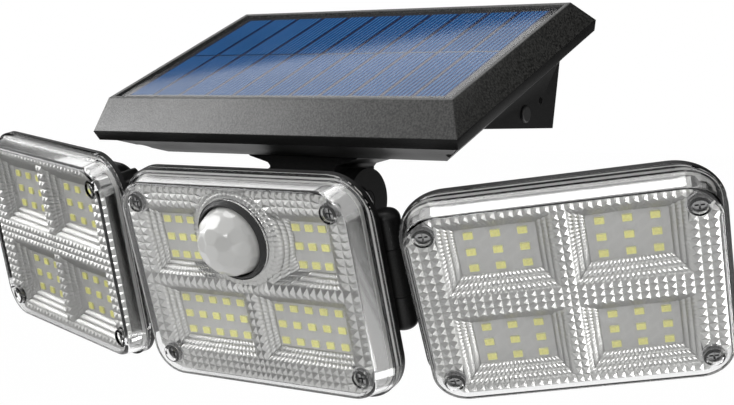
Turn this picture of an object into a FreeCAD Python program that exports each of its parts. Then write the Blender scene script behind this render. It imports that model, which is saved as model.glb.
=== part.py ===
import FreeCAD, Part
import math
import os
import re
from FreeCAD import Placement, Rotation, Vector

# Solar security light with three lamp heads and a motion sensor, hung on a wall by its foot.
# Frame: origin at the middle of the foot's flat wall face, +Y into the wall, +Z up,
# +X to the right of someone who faces the light. All sizes are in millimetres.

doc = FreeCAD.newDocument("SecurityLight")
sheet = doc.addObject("Spreadsheet::Sheet", "Sizes")

SIZES = [
    # panel housing, measured in the panel's own tilted plane, down from its lip
    ("panel_tilt", 24.0, "slope of the solar panel, degrees"),
    ("panel_back", 60.5, "wall face to the middle of the lip"),
    ("panel_up", 17.0, "wall face centre up to the middle of the lip"),
    ("lip_side", 6.25, "cell field out to the lip's outside, at the sides"),
    ("lip_end", 5.5, "cell field out to the lip's outside, front and back"),
    ("skirt_side", 4.75, "how far the skirt leans out at the sides"),
    ("skirt_end", 9.7, "how far the skirt leans out, front and back"),
    ("skirt_drop", 11.3, "lip down to the widest line"),
    ("band_drop", 4.4, "height of the dark band under the widest line"),
    ("band_inset", 1.0, "how far the band draws in"),
    ("shell_wall", 2.4, "wall of both housing shells"),
    ("lip_edge", 2.0, "width of the raised lip"),
    ("pan_step", 2.0, "step between the band and the underside pan"),
    ("pan_drop", 13.7, "depth of the underside pan"),
    ("pan_width", 141.0, "flat bottom of the pan across"),
    ("pan_front", 39.6, "housing middle to the front edge of the pan's bottom"),
    ("pan_rear", 52.5, "housing middle to the rear edge of the pan's bottom"),
    ("ledge_thick", 2.0, "ledge that carries the solar panel"),
    ("ledge_reach", 5.0, "width of that ledge"),
    ("case_screw_side", 12.0, "housing screws in from the widest line, at the sides"),
    ("case_screw_end", 14.2, "housing screws in from the widest line, front and back"),
    ("case_screw_length", 11.0, "thread length of the housing screws"),
    ("case_seat", 1.0, "housing screw heads below the band"),
    ("frame_boss", 3.6, "screw boss radius of the upper frame"),
    ("shell_boss", 4.8, "screw boss radius of the lower shell"),
    ("seal_width", 1.2, "housing seal width"),
    ("seal_height", 0.8, "housing seal height"),
    # solar panel
    ("panel_gap", 0.3, "gap round the solar panel"),
    ("glaze_sink", 0.8, "lip down to the clear face"),
    ("glaze_thick", 0.4, "clear face of the solar panel"),
    ("cell_thick", 0.2, "solar cell thickness"),
    ("backing_thick", 1.8, "backing board of the solar panel"),
    ("cell_columns", 11, "solar cells across"),
    ("cell_rows", 2, "solar cells front to back"),
    ("cell_field_width", 158.0, "cell field across"),
    ("cell_field_depth", 88.0, "cell field front to back"),
    ("cell_gap", 1.3, "gap between neighbouring cells"),
    # wall foot
    ("foot_bottom", 14.2, "wall face centre down to the foot's bottom"),
    ("foot_top", 14.3, "wall face centre up to the foot's top"),
    ("foot_reach", 57.7, "foot's bottom, wall to its front edge"),
    ("foot_neck", 8.0, "foot's top, wall to its front edge"),
    ("foot_half_low", 70.0, "half width of the foot at the bottom"),
    ("foot_flare", 2.8, "how much further out the foot's sides are at its top"),
    ("foot_wall", 2.5, "wall of the foot"),
    ("foot_nose", 7.5, "solid nose of the foot at its front edge"),
    ("keyhole_spacing", 100.0, "between the two keyholes"),
    ("keyhole_drop", 5.0, "keyhole entries below the wall face centre"),
    ("keyhole_radius", 4.2, "entry hole for a wall screw's head"),
    ("keyhole_slot", 2.2, "half width of the slot for the screw's shank"),
    ("keyhole_rise", 8.0, "entry hole up to the end of the slot"),
    # mode button and charge light on the foot's right side
    ("button_y", -25.7, "button axis from the wall"),
    ("button_z", -8.3, "button axis height"),
    ("button_radius", 3.5, "push button radius"),
    ("button_slip", 0.1, "radial gap round the button"),
    ("button_stand", 1.2, "how far the button stands out"),
    ("button_round", 0.7, "edge radius of the button"),
    ("button_travel", 0.8, "button travel"),
    ("button_tail", 2.4, "button stem behind its collar"),
    ("collar_thick", 1.0, "collar that keeps the button in"),
    ("collar_reach", 1.1, "collar beyond the button's radius"),
    ("charge_y", -13.2, "charge light axis from the wall"),
    ("charge_z", -2.7, "charge light axis height"),
    ("charge_radius", 1.5, "charge light radius"),
    # inside the housing
    ("battery_radius", 9.1, "lithium cell radius"),
    ("battery_length", 65.0, "lithium cell length"),
    ("knob_radius", 2.6, "end knob of a battery"),
    ("knob_rise", 1.2, "how far that knob stands out"),
    ("battery_gap", 0.8, "between the two lithium cells"),
    ("holder_floor", 1.6, "battery holder under the cells"),
    ("holder_rim", 3.5, "battery holder beyond the cells' ends"),
    ("board_length", 70.0, "control board across"),
    ("board_depth", 34.0, "control board front to back"),
    ("board_thick", 1.6, "thickness of every circuit board"),
    ("chip_half", 6.0, "half width of the controller chip"),
    ("chip_thick", 1.8, "controller chip thickness"),
    ("plug_x", 25.0, "plugs from the board's middle"),
    ("plug_half", 5.0, "half width of a plug"),
    ("plug_rise", 5.0, "plug height"),
    ("capacitor_radius", 3.0, "capacitor radius"),
    ("board_shift", 4.0, "control board behind the middle of the neck"),
    ("post_height", 3.0, "posts under the control board"),
    ("post_radius", 2.5, "radius of those posts"),
    # neck and its tilt hinge
    ("hinge_y", -68.5, "tilt hinge from the wall"),
    ("hinge_z", -44.0, "tilt hinge height"),
    ("neck_half", 16.3, "half width of the neck"),
    ("neck_depth", 28.0, "neck front to back"),
    ("waist_rise", 14.6, "hinge up to the neck's narrowest place"),
    ("flare_low_half", 27.0, "half width of the flare low down"),
    ("flare_low_rise", 2.8, "waist up to the low flare"),
    ("flare_half", 34.0, "half width of the flare at the pan"),
    ("flare_rise", 9.9, "waist up to the full flare"),
    ("knuckle_radius", 14.0, "neck's knuckle round the tilt axis"),
    ("neck_screw_x", 10.5, "neck screws from the middle, across"),
    ("neck_screw_y", 8.0, "neck screws from the middle, front to back"),
    ("neck_screw_bite", 7.4, "neck screw thread in the neck"),
    ("wire_radius", 3.5, "wire passage radius"),
    # bracket of the centre head
    ("bracket_reach", 55.2, "tilt axis behind the centre head's screw plane"),
    ("bracket_rise", 14.8, "tilt axis above the centre head's middle"),
    ("head_tilt", 18.8, "how far the centre head looks down, degrees"),
    ("ear_gap", 0.3, "gap on each side of the neck's knuckle"),
    ("ear_thick", 6.8, "thickness of the bracket's ears"),
    ("ear_radius", 13.5, "ear radius round the tilt axis"),
    ("ear_half", 10.5, "half height of the ears between axis and plate"),
    ("plate_thick", 6.0, "bracket plate on the head's back"),
    ("plate_half", 14.0, "half height of the bracket plate"),
    ("plate_screw_x", 11.0, "bracket screws from the middle, across"),
    ("plate_screw_z", 9.0, "bracket screws above and below the tilt axis"),
    ("plate_screw_bite", 5.0, "bracket screw thread in the plate"),
    ("tilt_bolt_radius", 2.5, "tilt bolt radius"),
    ("tilt_head_radius", 4.3, "tilt bolt head radius"),
    ("tilt_head_thick", 3.0, "tilt bolt head thickness"),
    ("tilt_well_gap", 0.3, "radial gap round the sunk bolt head"),
    ("nut_flats", 8.0, "nut across its flats"),
    ("nut_thick", 3.0, "nut thickness"),
    ("washer_thick", 0.8, "washer thickness"),
    ("bolt_slip", 0.06, "radial gap round bolts and pins"),
    # lamp heads: x across, y backwards from the plane of the screw heads, z up
    ("centre_width", 122.0, "centre head across its flange"),
    ("side_width", 115.0, "side head across its flange"),
    ("head_height", 91.0, "heads, height of the flange"),
    ("flange_round", 19.0, "corner radius of the flange"),
    ("cover_rise", 3.0, "front face of the clear cover before the screw plane"),
    ("cover_inset", 1.8, "cover wall inside the flange edge, where it meets the flange"),
    ("face_width", 110.6, "front face of the clear cover across"),
    ("face_height", 84.0, "front face of the clear cover, height"),
    ("cover_wall", 1.5, "clear cover wall"),
    ("cover_corner", 13.0, "corner radius of the cover's walls"),
    ("cover_round", 2.0, "front edge radius of the cover"),
    ("flange_front", 6.2, "front of the cover's flange"),
    ("flange_thick", 1.8, "cover flange thickness"),
    ("rear_flange", 2.0, "rear housing flange thickness"),
    ("rear_inset", 6.5, "rear housing inside the flange edge"),
    ("rear_depth", 13.0, "rear housing, cover flange to back face"),
    ("rear_round", 6.0, "back edge radius of the rear housing"),
    ("rear_corner", 11.0, "corner radius of the rear housing"),
    ("rear_wall", 2.0, "rear housing wall"),
    ("rib_gap", 0.3, "locating rib of the rear housing, gap to the cover"),
    ("gasket_inset", 1.6, "head gasket inside the flange edge"),
    ("gasket_width", 1.0, "head gasket width"),
    ("gasket_corner", 14.3, "outer corner radius of the head gasket"),
    ("gasket_thick", 0.8, "head gasket thickness"),
    ("screw_x", 47.5, "head screws from the middle, across"),
    ("screw_z", 33.4, "head screws from the middle, up"),
    ("screw_radius", 1.5, "thread radius of the small screws"),
    ("screw_head", 2.9, "head radius of the small screws"),
    ("screw_head_thick", 1.8, "head thickness of the small screws"),
    ("screw_slot", 0.7, "width of the cross in a screw's head"),
    ("screw_slot_deep", 0.9, "depth of the cross in a screw's head"),
    ("screw_slip", 0.03, "radial gap round a screw's thread"),
    ("screw_clear", 0.2, "radial gap round a screw that passes through"),
    ("head_screw_seat", 0.8, "seat of the head screws behind the screw plane"),
    ("head_screw_length", 15.0, "thread length of the head screws"),
    ("pocket_radius", 3.1, "screw pocket in the clear cover"),
    ("cover_boss", 3.9, "screw boss radius of the clear cover"),
    ("boss_gap", 0.1, "gap round the cover's screw bosses"),
    ("rear_boss", 3.0, "screw boss radius of the rear housing"),
    ("reflector_front", 0.3, "front plane of the reflector"),
    ("reflector_deep", 5.1, "depth of the reflector"),
    ("reflector_gap", 0.3, "gap between reflector and cover"),
    ("mirror_width", 107.0, "front of the reflector across"),
    ("mirror_height", 80.6, "front of the reflector, height"),
    ("mirror_corner", 11.0, "corner radius of the reflector"),
    ("pillar_wall", 0.8, "reflector kept round each screw boss"),
    ("window_slope", 4.5, "width of the centre head's sloped window walls"),
    ("window_margin", 1.2, "board seen round the centre head's LEDs"),
    ("side_slope", 6.0, "width of the side heads' sloped window walls"),
    ("side_margin_x", 3.0, "board seen beside the side heads' LEDs"),
    ("side_margin_z", 1.6, "board seen above and below the side heads' LEDs"),
    ("led_length", 3.5, "LED across"),
    ("led_width", 2.8, "LED up"),
    ("led_thick", 0.7, "LED thickness"),
    ("side_led_x", 23.0, "side head windows from the middle, across"),
    ("side_led_z", 20.8, "side head windows from the middle, up"),
    ("side_pitch_x", 9.6, "side head LED pitch across"),
    ("side_pitch_z", 7.1, "side head LED pitch up"),
    ("top_led_x", 32.3, "centre head's upper windows, across"),
    ("top_led_z", 17.0, "centre head's upper windows, up"),
    ("top_pitch_x", 6.1, "upper LED pitch across"),
    ("top_pitch_z", 7.6, "upper LED pitch up"),
    ("low_led_x", 24.1, "centre head's lower windows, across"),
    ("low_led_z", 17.0, "centre head's lower windows, down"),
    ("low_pitch_x", 7.15, "lower LED pitch across"),
    ("low_pitch_z", 7.1, "lower LED pitch up"),
    # motion sensor
    ("sensor_z", 20.7, "sensor above the centre head's middle"),
    ("dome_radius", 14.3, "sensor dome radius"),
    ("dome_wall", 0.9, "sensor dome wall"),
    ("dome_base", 1.5, "dome's base before the screw plane"),
    ("ring_radius", 16.3, "sensor ring radius"),
    ("ring_rise", 4.9, "front of the sensor ring before the screw plane"),
    ("ring_slant", 2.2, "height of the slanted face round the sensor ring's front"),
    ("ring_lip", 0.5, "flat front of the sensor ring"),
    ("ring_shoulder", 1.6, "width of the shoulder under the dome"),
    ("ring_gap", 0.2, "gap round the sensor ring and the dome"),
    ("ring_moat", 4.1, "front of the reflector kept round the sensor ring"),
    ("ring_slope", 4.0, "how far that round wall widens towards the board"),
    ("ring_reach", 5.3, "how far the upper windows reach round that wall"),
    ("element_radius", 4.6, "sensor element radius"),
    ("element_thick", 4.4, "sensor element height"),
    # side arms: an upright pin beside the centre head, a tilt bolt behind each side head
    ("swivel_x", 58.0, "swivel pin from the centre head's middle"),
    ("swivel_y", 18.0, "swivel pin behind the screw plane"),
    ("swivel_z", 4.0, "middle of the swivel knuckles"),
    ("swivel_radius", 5.5, "swivel knuckle radius"),
    ("swivel_half", 24.0, "half height of the swivel knuckles"),
    ("swivel_round", 3.6, "outer edge radius of the swivel knuckles"),
    ("swivel_web", 7.5, "depth of the web behind the knuckles"),
    ("arm_half", 9.5, "half height of the arm's knuckle"),
    ("arm_gap", 0.3, "gap round the arm's knuckle"),
    ("pin_radius", 2.0, "swivel pin and side tilt bolt radius"),
    ("pin_cover", 1.5, "knuckle left beyond each end of the pin"),
    ("arm_top", 9.5, "top of the arm's plate above the head's middle"),
    ("arm_front", 2.5, "arm plate before the side tilt axis"),
    ("arm_thick", 4.0, "bridge behind the side tilt axis"),
    ("arm_heel", 3.0, "fork's start to the heel of the arm's crank"),
    ("crank_run", 6.0, "how far the arm's crank reaches back from the fork"),
    ("crank_rise", 7.0, "how far the arm's crank rises"),
    ("side_reach", 64.0, "swivel pin to the side head's middle"),
    ("side_axis", 10.0, "side tilt axis behind the swivel pin"),
    ("side_knuckle", 5.5, "knuckle radius round the side tilt axis"),
    ("fork_start", 14.0, "swivel pin to the arm's fork"),
    ("fork_near", 7.7, "length of the fork's near knuckle"),
    ("fork_far", 7.7, "length of the fork's far knuckle"),
    ("fork_gap", 0.3, "gap on each side of the head's knuckle"),
    ("head_knuckle", 12.0, "length of the side head's knuckle"),
    ("insert_radius", 2.9, "threaded insert radius"),
    ("insert_length", 5.0, "threaded insert length"),
    ("side_bolt_head", 3.5, "side tilt bolt head radius"),
    ("side_bolt_thick", 2.4, "side tilt bolt head thickness"),
    # turns of the heads
    ("right_swivel", 26.0, "right head turned outwards, degrees"),
    ("left_swivel", 16.0, "left head turned outwards, degrees"),
    ("right_tilt", 14.0, "right head tilted further down, degrees"),
    ("left_tilt", -3.0, "left head tilted, degrees"),
]

for number, (alias, value, note) in enumerate(SIZES, start=1):
    sheet.set(f"A{number}", note)
    sheet.set(f"B{number}", str(value))
    sheet.setAlias(f"B{number}", alias)
doc.recompute()

ALIAS_PATTERN = re.compile(r"\b(" + "|".join(alias for alias, _, _ in SIZES) + r")\b")
PASS = 1.0  # how far a cutting tool runs past the faces that it opens
PIECES = {}


def size(alias):
    """The value of one cell of the sheet."""
    return float(sheet.get(alias))


def bind(item, **rules):
    """Bind properties to rules on the sheet's cells, which are written with their aliases."""
    for prop, rule in rules.items():
        item.setExpression(prop, ALIAS_PATTERN.sub(r"Sizes.\1", str(rule)))


def bind_base(item, *rules):
    for axis, rule in zip("xyz", rules):
        item.setExpression(f".Placement.Base.{axis}", ALIAS_PATTERN.sub(r"Sizes.\1", str(rule)))


def block(name, x, y, z):
    """A box between two rules on each axis."""
    item = doc.addObject("Part::Box", name)
    bind(item, Length=f"({x[1]}) - ({x[0]})", Width=f"({y[1]}) - ({y[0]})",
         Height=f"({z[1]}) - ({z[0]})")
    bind_base(item, x[0], y[0], z[0])
    return item


def both(rule):
    """The pair of rules for a length that is centred on the middle."""
    return f"-({rule})", rule


AXIS_TURNS = {
    "x": Rotation(Vector(0, 1, 0), 90),
    "y": Rotation(Vector(1, 0, 0), -90),
    "z": Rotation(),
}


def rod(name, radius, ends, centre, axis="z"):
    """A cylinder along an axis, between two rules; centre holds the other two coordinates."""
    item = doc.addObject("Part::Cylinder", name)
    item.Placement = Placement(Vector(), AXIS_TURNS[axis])
    bind(item, Radius=radius, Height=f"({ends[1]}) - ({ends[0]})")
    base = list(centre)
    base.insert("xyz".index(axis), ends[0])
    bind_base(item, *base)
    return item


def cone(name, near, far, ends, centre, axis):
    """A cone along an axis, with a radius rule for each of its ends."""
    item = doc.addObject("Part::Cone", name)
    item.Placement = Placement(Vector(), AXIS_TURNS[axis])
    bind(item, Radius1=near, Radius2=far, Height=f"({ends[1]}) - ({ends[0]})")
    base = list(centre)
    base.insert("xyz".index(axis), ends[0])
    bind_base(item, *base)
    return item


def frustum(name, low, high, heights):
    """A tapered block with its taper along Z; low and high are (x, y) pairs of rule pairs."""
    item = taper(name, (low[0], (f"-({low[1][1]})", f"-({low[1][0]})")),
                 (high[0], (f"-({high[1][1]})", f"-({high[1][0]})")), heights)
    item.Placement = Placement(Vector(), Rotation(Vector(1, 0, 0), 90))
    return item


def taper(name, front, back, depths):
    """A tapered block with its taper along Y; front and back are (x, z) pairs of rule pairs."""
    item = doc.addObject("Part::Wedge", name)
    bind(item, Xmin=front[0][0], Xmax=front[0][1], Zmin=front[1][0], Zmax=front[1][1],
         X2min=back[0][0], X2max=back[0][1], Z2min=back[1][0], Z2max=back[1][1],
         Ymin=depths[0], Ymax=depths[1])
    return item


def cut(name, base, *tools):
    item = doc.addObject("Part::Cut", name)
    item.Base = base
    item.Tool = tools[0] if len(tools) == 1 else group(name + "_tools", *tools)
    return item


def group(name, *items):
    item = doc.addObject("Part::Compound", name)
    item.Links = list(items)
    return item


def fuse(name, *items):
    item = doc.addObject("Part::MultiFuse", name)
    item.Shapes = list(items)
    item.Refine = True
    return item


def common(name, first, second):
    item = doc.addObject("Part::Common", name)
    item.Base = first
    item.Tool = second
    return item


def fillet(name, base, radius, chosen):
    """A fillet on the edges that a test picks."""
    doc.recompute()
    item = doc.addObject("Part::Fillet", name)
    item.Base = base
    item.Edges = [(number, radius, radius)
                  for number, edge in enumerate(base.Shape.Edges, start=1) if chosen(edge)]
    if not item.Edges:
        raise ValueError(f"{name} has no edge to round")
    return item


def runs_along(axis):
    """A test for straight edges along an axis."""
    def test(edge):
        if edge.Curve.TypeId != "Part::GeomLine":
            return False
        way = edge.Vertexes[-1].Point - edge.Vertexes[0].Point
        return abs(getattr(way.normalize(), axis)) > 0.999
    return test


def lies_at(axis, value):
    """A test for edges in the plane where an axis has a value."""
    def test(edge):
        box = edge.BoundBox
        ends = getattr(box, f"{axis.upper()}Min"), getattr(box, f"{axis.upper()}Max")
        return max(abs(end - value) for end in ends) < 1e-3
    return test


def set_of(name, source, places):
    """Equal separate solids, such as a set of screws, each in its own place."""
    doc.recompute()
    solids = []
    for place in places:
        solid = source.Shape.copy()
        solid.Placement = place.multiply(solid.Placement)
        solids.append(solid)
    item = doc.addObject("Part::Feature", name)
    item.Shape = Part.makeCompound(solids)
    return item


def at(x=0, y=0, z=0):
    return Placement(Vector(x, y, z), Rotation())


def corners(x, y):
    """The four places at plus and minus x and y."""
    return [at(sx * x, sy * y) for sx in (-1, 1) for sy in (-1, 1)]


def piece(node, item, place):
    """Name a finished piece and move it, as a whole, to its place in the light."""
    holder = group("place_" + node, item)
    holder.Placement = place
    holder.Label = node
    PIECES[node] = holder


def screw(name, length):
    """A pan-head screw: thread up +Z from the origin, head below, with a cross in it."""
    thread = rod(name + "_thread", "screw_radius", ("0", length), ("0", "0"))
    head = rod(name + "_head", "screw_head", ("-screw_head_thick", "0"), ("0", "0"))
    slot = ("-screw_head_thick - 1", "-screw_head_thick + screw_slot_deep")
    long, short = both("screw_head*0.6"), both("screw_slot/2")
    return cut(name, fuse(name + "_blank", thread, head),
               fuse(name + "_cross", block(name + "_slot", long, short, slot),
                    block(name + "_slot_across", short, long, slot)))


# ---------------------------------------------------------------- places

WORLD = Placement()
TILT = math.radians(size("panel_tilt"))
PANEL = Placement(Vector(0, -size("panel_back"), size("panel_up")),
                  Rotation(Vector(1, 0, 0), size("panel_tilt")))
HEAD = Placement(Vector(0, size("hinge_y"), size("hinge_z")),
                 Rotation(Vector(1, 0, 0), size("head_tilt"))).multiply(
                     at(0, -size("bracket_reach"), -size("bracket_rise")))


def arm_place(side, swivel):
    """Frame of an arm: origin on the swivel pin, x along the side head, y backwards."""
    pin = Vector(side * size("swivel_x"), size("swivel_y"), 0)
    return HEAD.multiply(Placement(pin, Rotation(Vector(0, 0, 1), side * swivel)))


def side_head_place(side, swivel, tilt):
    """Frame of a side head, laid out like the centre head's."""
    axis = Placement(Vector(side * size("side_reach"), size("side_axis"), 0),
                     Rotation(Vector(1, 0, 0), tilt))
    return arm_place(side, swivel).multiply(axis).multiply(
        at(0, -size("swivel_y") - size("side_axis"), 0))


# ---------------------------------------------------------------- panel housing

LIP = ("cell_field_width/2 + lip_side", "cell_field_depth/2 + lip_end")
RIM = (f"{LIP[0]} + skirt_side", f"{LIP[1]} + skirt_end")
BAND = tuple(f"{half} - band_inset" for half in RIM)
PAN_TOP = tuple(f"{half} - pan_step" for half in BAND)
RIM_Z = "-skirt_drop"
BAND_Z = "(-skirt_drop - band_drop)"
PAN_Z = "(-skirt_drop - band_drop - pan_drop)"
FLOOR_Z = f"({PAN_Z} + shell_wall)"
LEDGE_Z = "(-glaze_sink - glaze_thick - cell_thick - backing_thick)"
SCREW_Z = f"({BAND_Z} - case_seat)"
FOOT_FLOOR = "(foot_wall - foot_bottom)"
PAN_DEPTH = size("skirt_drop") + size("band_drop") + size("pan_drop")


def sheet_of(half, grow="0"):
    """The x and y rule pairs of a rectangle on the middle, grown or shrunk all round."""
    return both(f"{half[0]} + {grow}"), both(f"{half[1]} + {grow}")


def case_screw_places():
    half_x = size("cell_field_width") / 2 + size("lip_side") + size("skirt_side")
    half_y = size("cell_field_depth") / 2 + size("lip_end") + size("skirt_end")
    return corners(half_x - size("case_screw_side"), half_y - size("case_screw_end"))


def upper_frame():
    skin = frustum("frame_skin", sheet_of(RIM), sheet_of(LIP), (RIM_Z, "0"))
    room = frustum("frame_room", sheet_of(RIM, "-shell_wall"), sheet_of(LIP, "-shell_wall"),
                   (RIM_Z, f"{LEDGE_Z} - ledge_thick"))
    seat = block("frame_seat", *sheet_of(LIP, "-lip_edge"), (LEDGE_Z, PASS))
    view = block("frame_window", *sheet_of(LIP, "-lip_edge - ledge_reach"), (RIM_Z, LEDGE_Z))
    hollow = cut("frame_hollow", skin, room, seat, view)
    boss = rod("frame_boss_rod", "frame_boss", (RIM_Z, LEDGE_Z), ("0", "0"))
    bosses = set_of("frame_bosses", boss, case_screw_places())
    bore = rod("frame_bore", "screw_radius + screw_slip",
               (f"{RIM_Z} - {PASS}", f"{SCREW_Z} + case_screw_length + screw_radius/2"),
               ("0", "0"))
    bores = set_of("frame_bores", bore, case_screw_places())
    piece("upper_frame", cut("frame", fuse("frame_body", hollow, bosses), bores), PANEL)


def solar_panel():
    face = sheet_of(LIP, "-lip_edge - panel_gap")
    glaze_z = "(-glaze_sink - glaze_thick)"
    piece("panel_glaze", block("glaze", *face, (glaze_z, "-glaze_sink")), PANEL)
    piece("panel_backing", block("backing", *face, (LEDGE_Z, f"{glaze_z} - cell_thick")), PANEL)

    one = block("one_cell", both("(cell_field_width/cell_columns - cell_gap)/2"),
                both("(cell_field_depth/cell_rows - cell_gap)/2"),
                (f"{glaze_z} - cell_thick", glaze_z))
    columns, rows = int(size("cell_columns")), int(size("cell_rows"))
    places = [at((column - (columns - 1) / 2) * size("cell_field_width") / columns,
                 (row - (rows - 1) / 2) * size("cell_field_depth") / rows)
              for column in range(columns) for row in range(rows)]
    piece("solar_cells", set_of("cells", one, places), PANEL)


def seal_ring(name):
    """The ring between the two shells, sunk into the lower one's edge."""
    outer = "-(shell_wall - seal_width)/2"
    heights = (f"{RIM_Z} - seal_height", RIM_Z)
    return cut(name, block(name + "_outer", *sheet_of(RIM, outer), heights),
               block(name + "_inner", *sheet_of(RIM, f"{outer} - seal_width"),
                     (f"{heights[0]} - {PASS}", f"{RIM_Z} + {PASS}")))


def foot_side(height):
    """Rule for the half width of the foot's drafted side at a height."""
    return f"(foot_half_low + ({height} + foot_bottom)*foot_flare/(foot_bottom + foot_top))"


def lower_shell():
    band = frustum("band_skin", sheet_of(BAND), sheet_of(RIM), (BAND_Z, RIM_Z))
    pan = frustum("pan_skin", (both("pan_width/2"), ("-pan_front", "pan_rear")),
                  sheet_of(PAN_TOP), (PAN_Z, BAND_Z))
    foot = frustum("foot_skin", (both("foot_half_low"), ("-foot_reach", "0")),
                   (both("foot_half_low + foot_flare"), ("-foot_neck", "0")),
                   ("-foot_bottom", "foot_top"))
    skin = fuse("shell_skin", band, pan, upright("foot_upright", foot))

    band_room = frustum("band_room", sheet_of(BAND, "-shell_wall"), sheet_of(RIM, "-shell_wall"),
                        (BAND_Z, RIM_Z))
    pan_room = frustum("pan_room", (both("pan_width/2 - shell_wall"),
                                    ("shell_wall - pan_front", "pan_rear - shell_wall")),
                       sheet_of(PAN_TOP, "-shell_wall"), (FLOOR_Z, BAND_Z))
    foot_room = block("foot_room", both("foot_half_low - foot_wall"),
                      ("foot_nose - foot_reach", "-foot_wall"),
                      (FOOT_FLOOR, "foot_top - foot_wall"))
    hollow = cut("shell_hollow", skin,
                 fuse("shell_room", band_room, pan_room, upright("room_upright", foot_room)))

    boss = rod("shell_boss_rod", "shell_boss", (PAN_Z, RIM_Z), ("0", "0"))
    bosses = common("shell_bosses", skin, set_of("shell_boss_set", boss, case_screw_places()))
    post = rod("board_post", "post_radius", (f"{FLOOR_Z} - {PASS}", f"{FLOOR_Z} + post_height"),
               ("0", "0"))
    posts = set_of("board_posts", post, board_post_places())
    solid = fuse("shell_solid", hollow, bosses, posts)

    bore = rod("shell_bore", "screw_radius + screw_clear", (SCREW_Z, f"{RIM_Z} + {PASS}"),
               ("0", "0"))
    well = rod("shell_well", "screw_head + screw_clear", (f"{PAN_Z} - {PASS}", SCREW_Z),
               ("0", "0"))
    drills = set_of("shell_drills", fuse("shell_drill", bore, well), case_screw_places())
    passage = rod("shell_passage", "wire_radius", (f"{PAN_Z} - {PASS}", f"{FLOOR_Z} + {PASS}"),
                  ("0", neck_middle()))
    neck_bore = rod("shell_neck_bore", "screw_radius + screw_clear",
                    (f"{PAN_Z} - {PASS}", f"{FLOOR_Z} + {PASS}"), ("0", "0"))
    neck_bores = set_of("shell_neck_bores", neck_bore, neck_screw_places())

    wall = (f"-foot_wall - {PASS}", PASS)
    entry = rod("keyhole_entry", "keyhole_radius", wall, ("0", "-keyhole_drop"), "y")
    slot = block("keyhole_run", both("keyhole_slot"), wall,
                 ("-keyhole_drop", "keyhole_rise - keyhole_drop"))
    end = rod("keyhole_end", "keyhole_slot", wall, ("0", "keyhole_rise - keyhole_drop"), "y")
    half = size("keyhole_spacing") / 2
    keyholes = set_of("keyholes", fuse("keyhole", entry, slot, end), [at(-half), at(half)])
    side = (f"foot_half_low - foot_wall - {PASS}", f"foot_half_low + foot_flare + {PASS}")
    button_hole = rod("button_hole", "button_radius + button_slip", side,
                      ("button_y", "button_z"), "x")
    charge_hole = rod("charge_hole", "charge_radius + screw_slip", side,
                      ("charge_y", "charge_z"), "x")
    inside = "(foot_half_low - foot_wall)"
    collar_room = rod("collar_room", "button_radius + collar_reach + arm_gap",
                      (f"{inside} - arm_gap - collar_thick - button_tail - button_travel", inside),
                      ("button_y", "button_z"), "x")
    openings = upright("foot_openings", keyholes, button_hole, collar_room, charge_hole)
    shell = cut("shell", solid, drills, seal_ring("shell_groove"), passage, neck_bores, openings)
    piece("lower_shell", shell, PANEL)


def upright(name, *items):
    """Shapes drawn upright, in the panel's tilted frame."""
    item = group(name, *items)
    item.Placement = PANEL.inverse()
    return item


def case_screws():
    lift = at(0, 0, -size("skirt_drop") - size("band_drop") - size("case_seat"))
    places = [place.multiply(lift) for place in case_screw_places()]
    piece("case_screws", set_of("case_screw_set", screw("case_screw", "case_screw_length"),
                                places), PANEL)


def control_board():
    middle = neck_middle() + size("board_shift")
    depth = (f"{middle} - board_depth/2", f"{middle} + board_depth/2")
    low = f"({FLOOR_Z} + post_height)"
    top = f"({low} + board_thick)"
    plate = block("board_plate", both("board_length/2"), depth, (low, top))
    chip = block("board_chip", both("chip_half"), span(middle, "chip_half - 1"),
                 (top, f"{top} + chip_thick"))
    plugs = [block(f"board_plug_{side}", span(f"{side}*plug_x", "plug_half"),
                   (f"{middle} - plug_half + 1", f"{middle} + plug_half - 3"),
                   (top, f"{top} + plug_rise")) for side in (-1, 1)]
    capacitor = rod("board_capacitor", "capacitor_radius", (top, f"{top} + 2*capacitor_radius"),
                    ("chip_half + 2*capacitor_radius", f"{middle} + chip_half + 2"))
    piece("control_board", fuse("board", plate, chip, *plugs, capacitor), PANEL)


def board_post_places():
    inset = size("post_radius") + 1.5
    middle = at(0, neck_middle() + size("board_shift"))
    return [middle.multiply(place) for place in corners(size("board_length") / 2 - inset,
                                                        size("board_depth") / 2 - inset)]


def batteries():
    can = rod("battery_can", "battery_radius", both("battery_length/2"), ("0", "0"), "x")
    knob = rod("battery_knob", "knob_radius", ("battery_length/2", "battery_length/2 + knob_rise"),
               ("0", "0"), "x")
    radius, pitch = size("battery_radius"), 2 * size("battery_radius") + size("battery_gap")
    height = size("foot_wall") - size("foot_bottom") + size("holder_floor") + radius
    rear = -size("foot_wall") - size("battery_gap") - radius
    places = [at(0, rear, height), at(0, rear - pitch, height)]
    cells = set_of("battery_pair", fuse("battery", can, knob), places)
    piece("battery_cells", cells, WORLD)

    front = "(foot_wall + 3*battery_gap + 4*battery_radius)"
    cradle = block("cradle", both("battery_length/2 + holder_rim"), (f"-{front}", "-foot_wall"),
                   (FOOT_FLOOR, f"{FOOT_FLOOR} + holder_floor + battery_radius*0.7"))
    trough = rod("trough", "battery_radius + bolt_slip", both("battery_length/2 + 1.5"),
                 ("0", "0"), "x")
    piece("battery_holder", cut("holder", cradle, set_of("troughs", trough, places)), WORLD)


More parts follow.
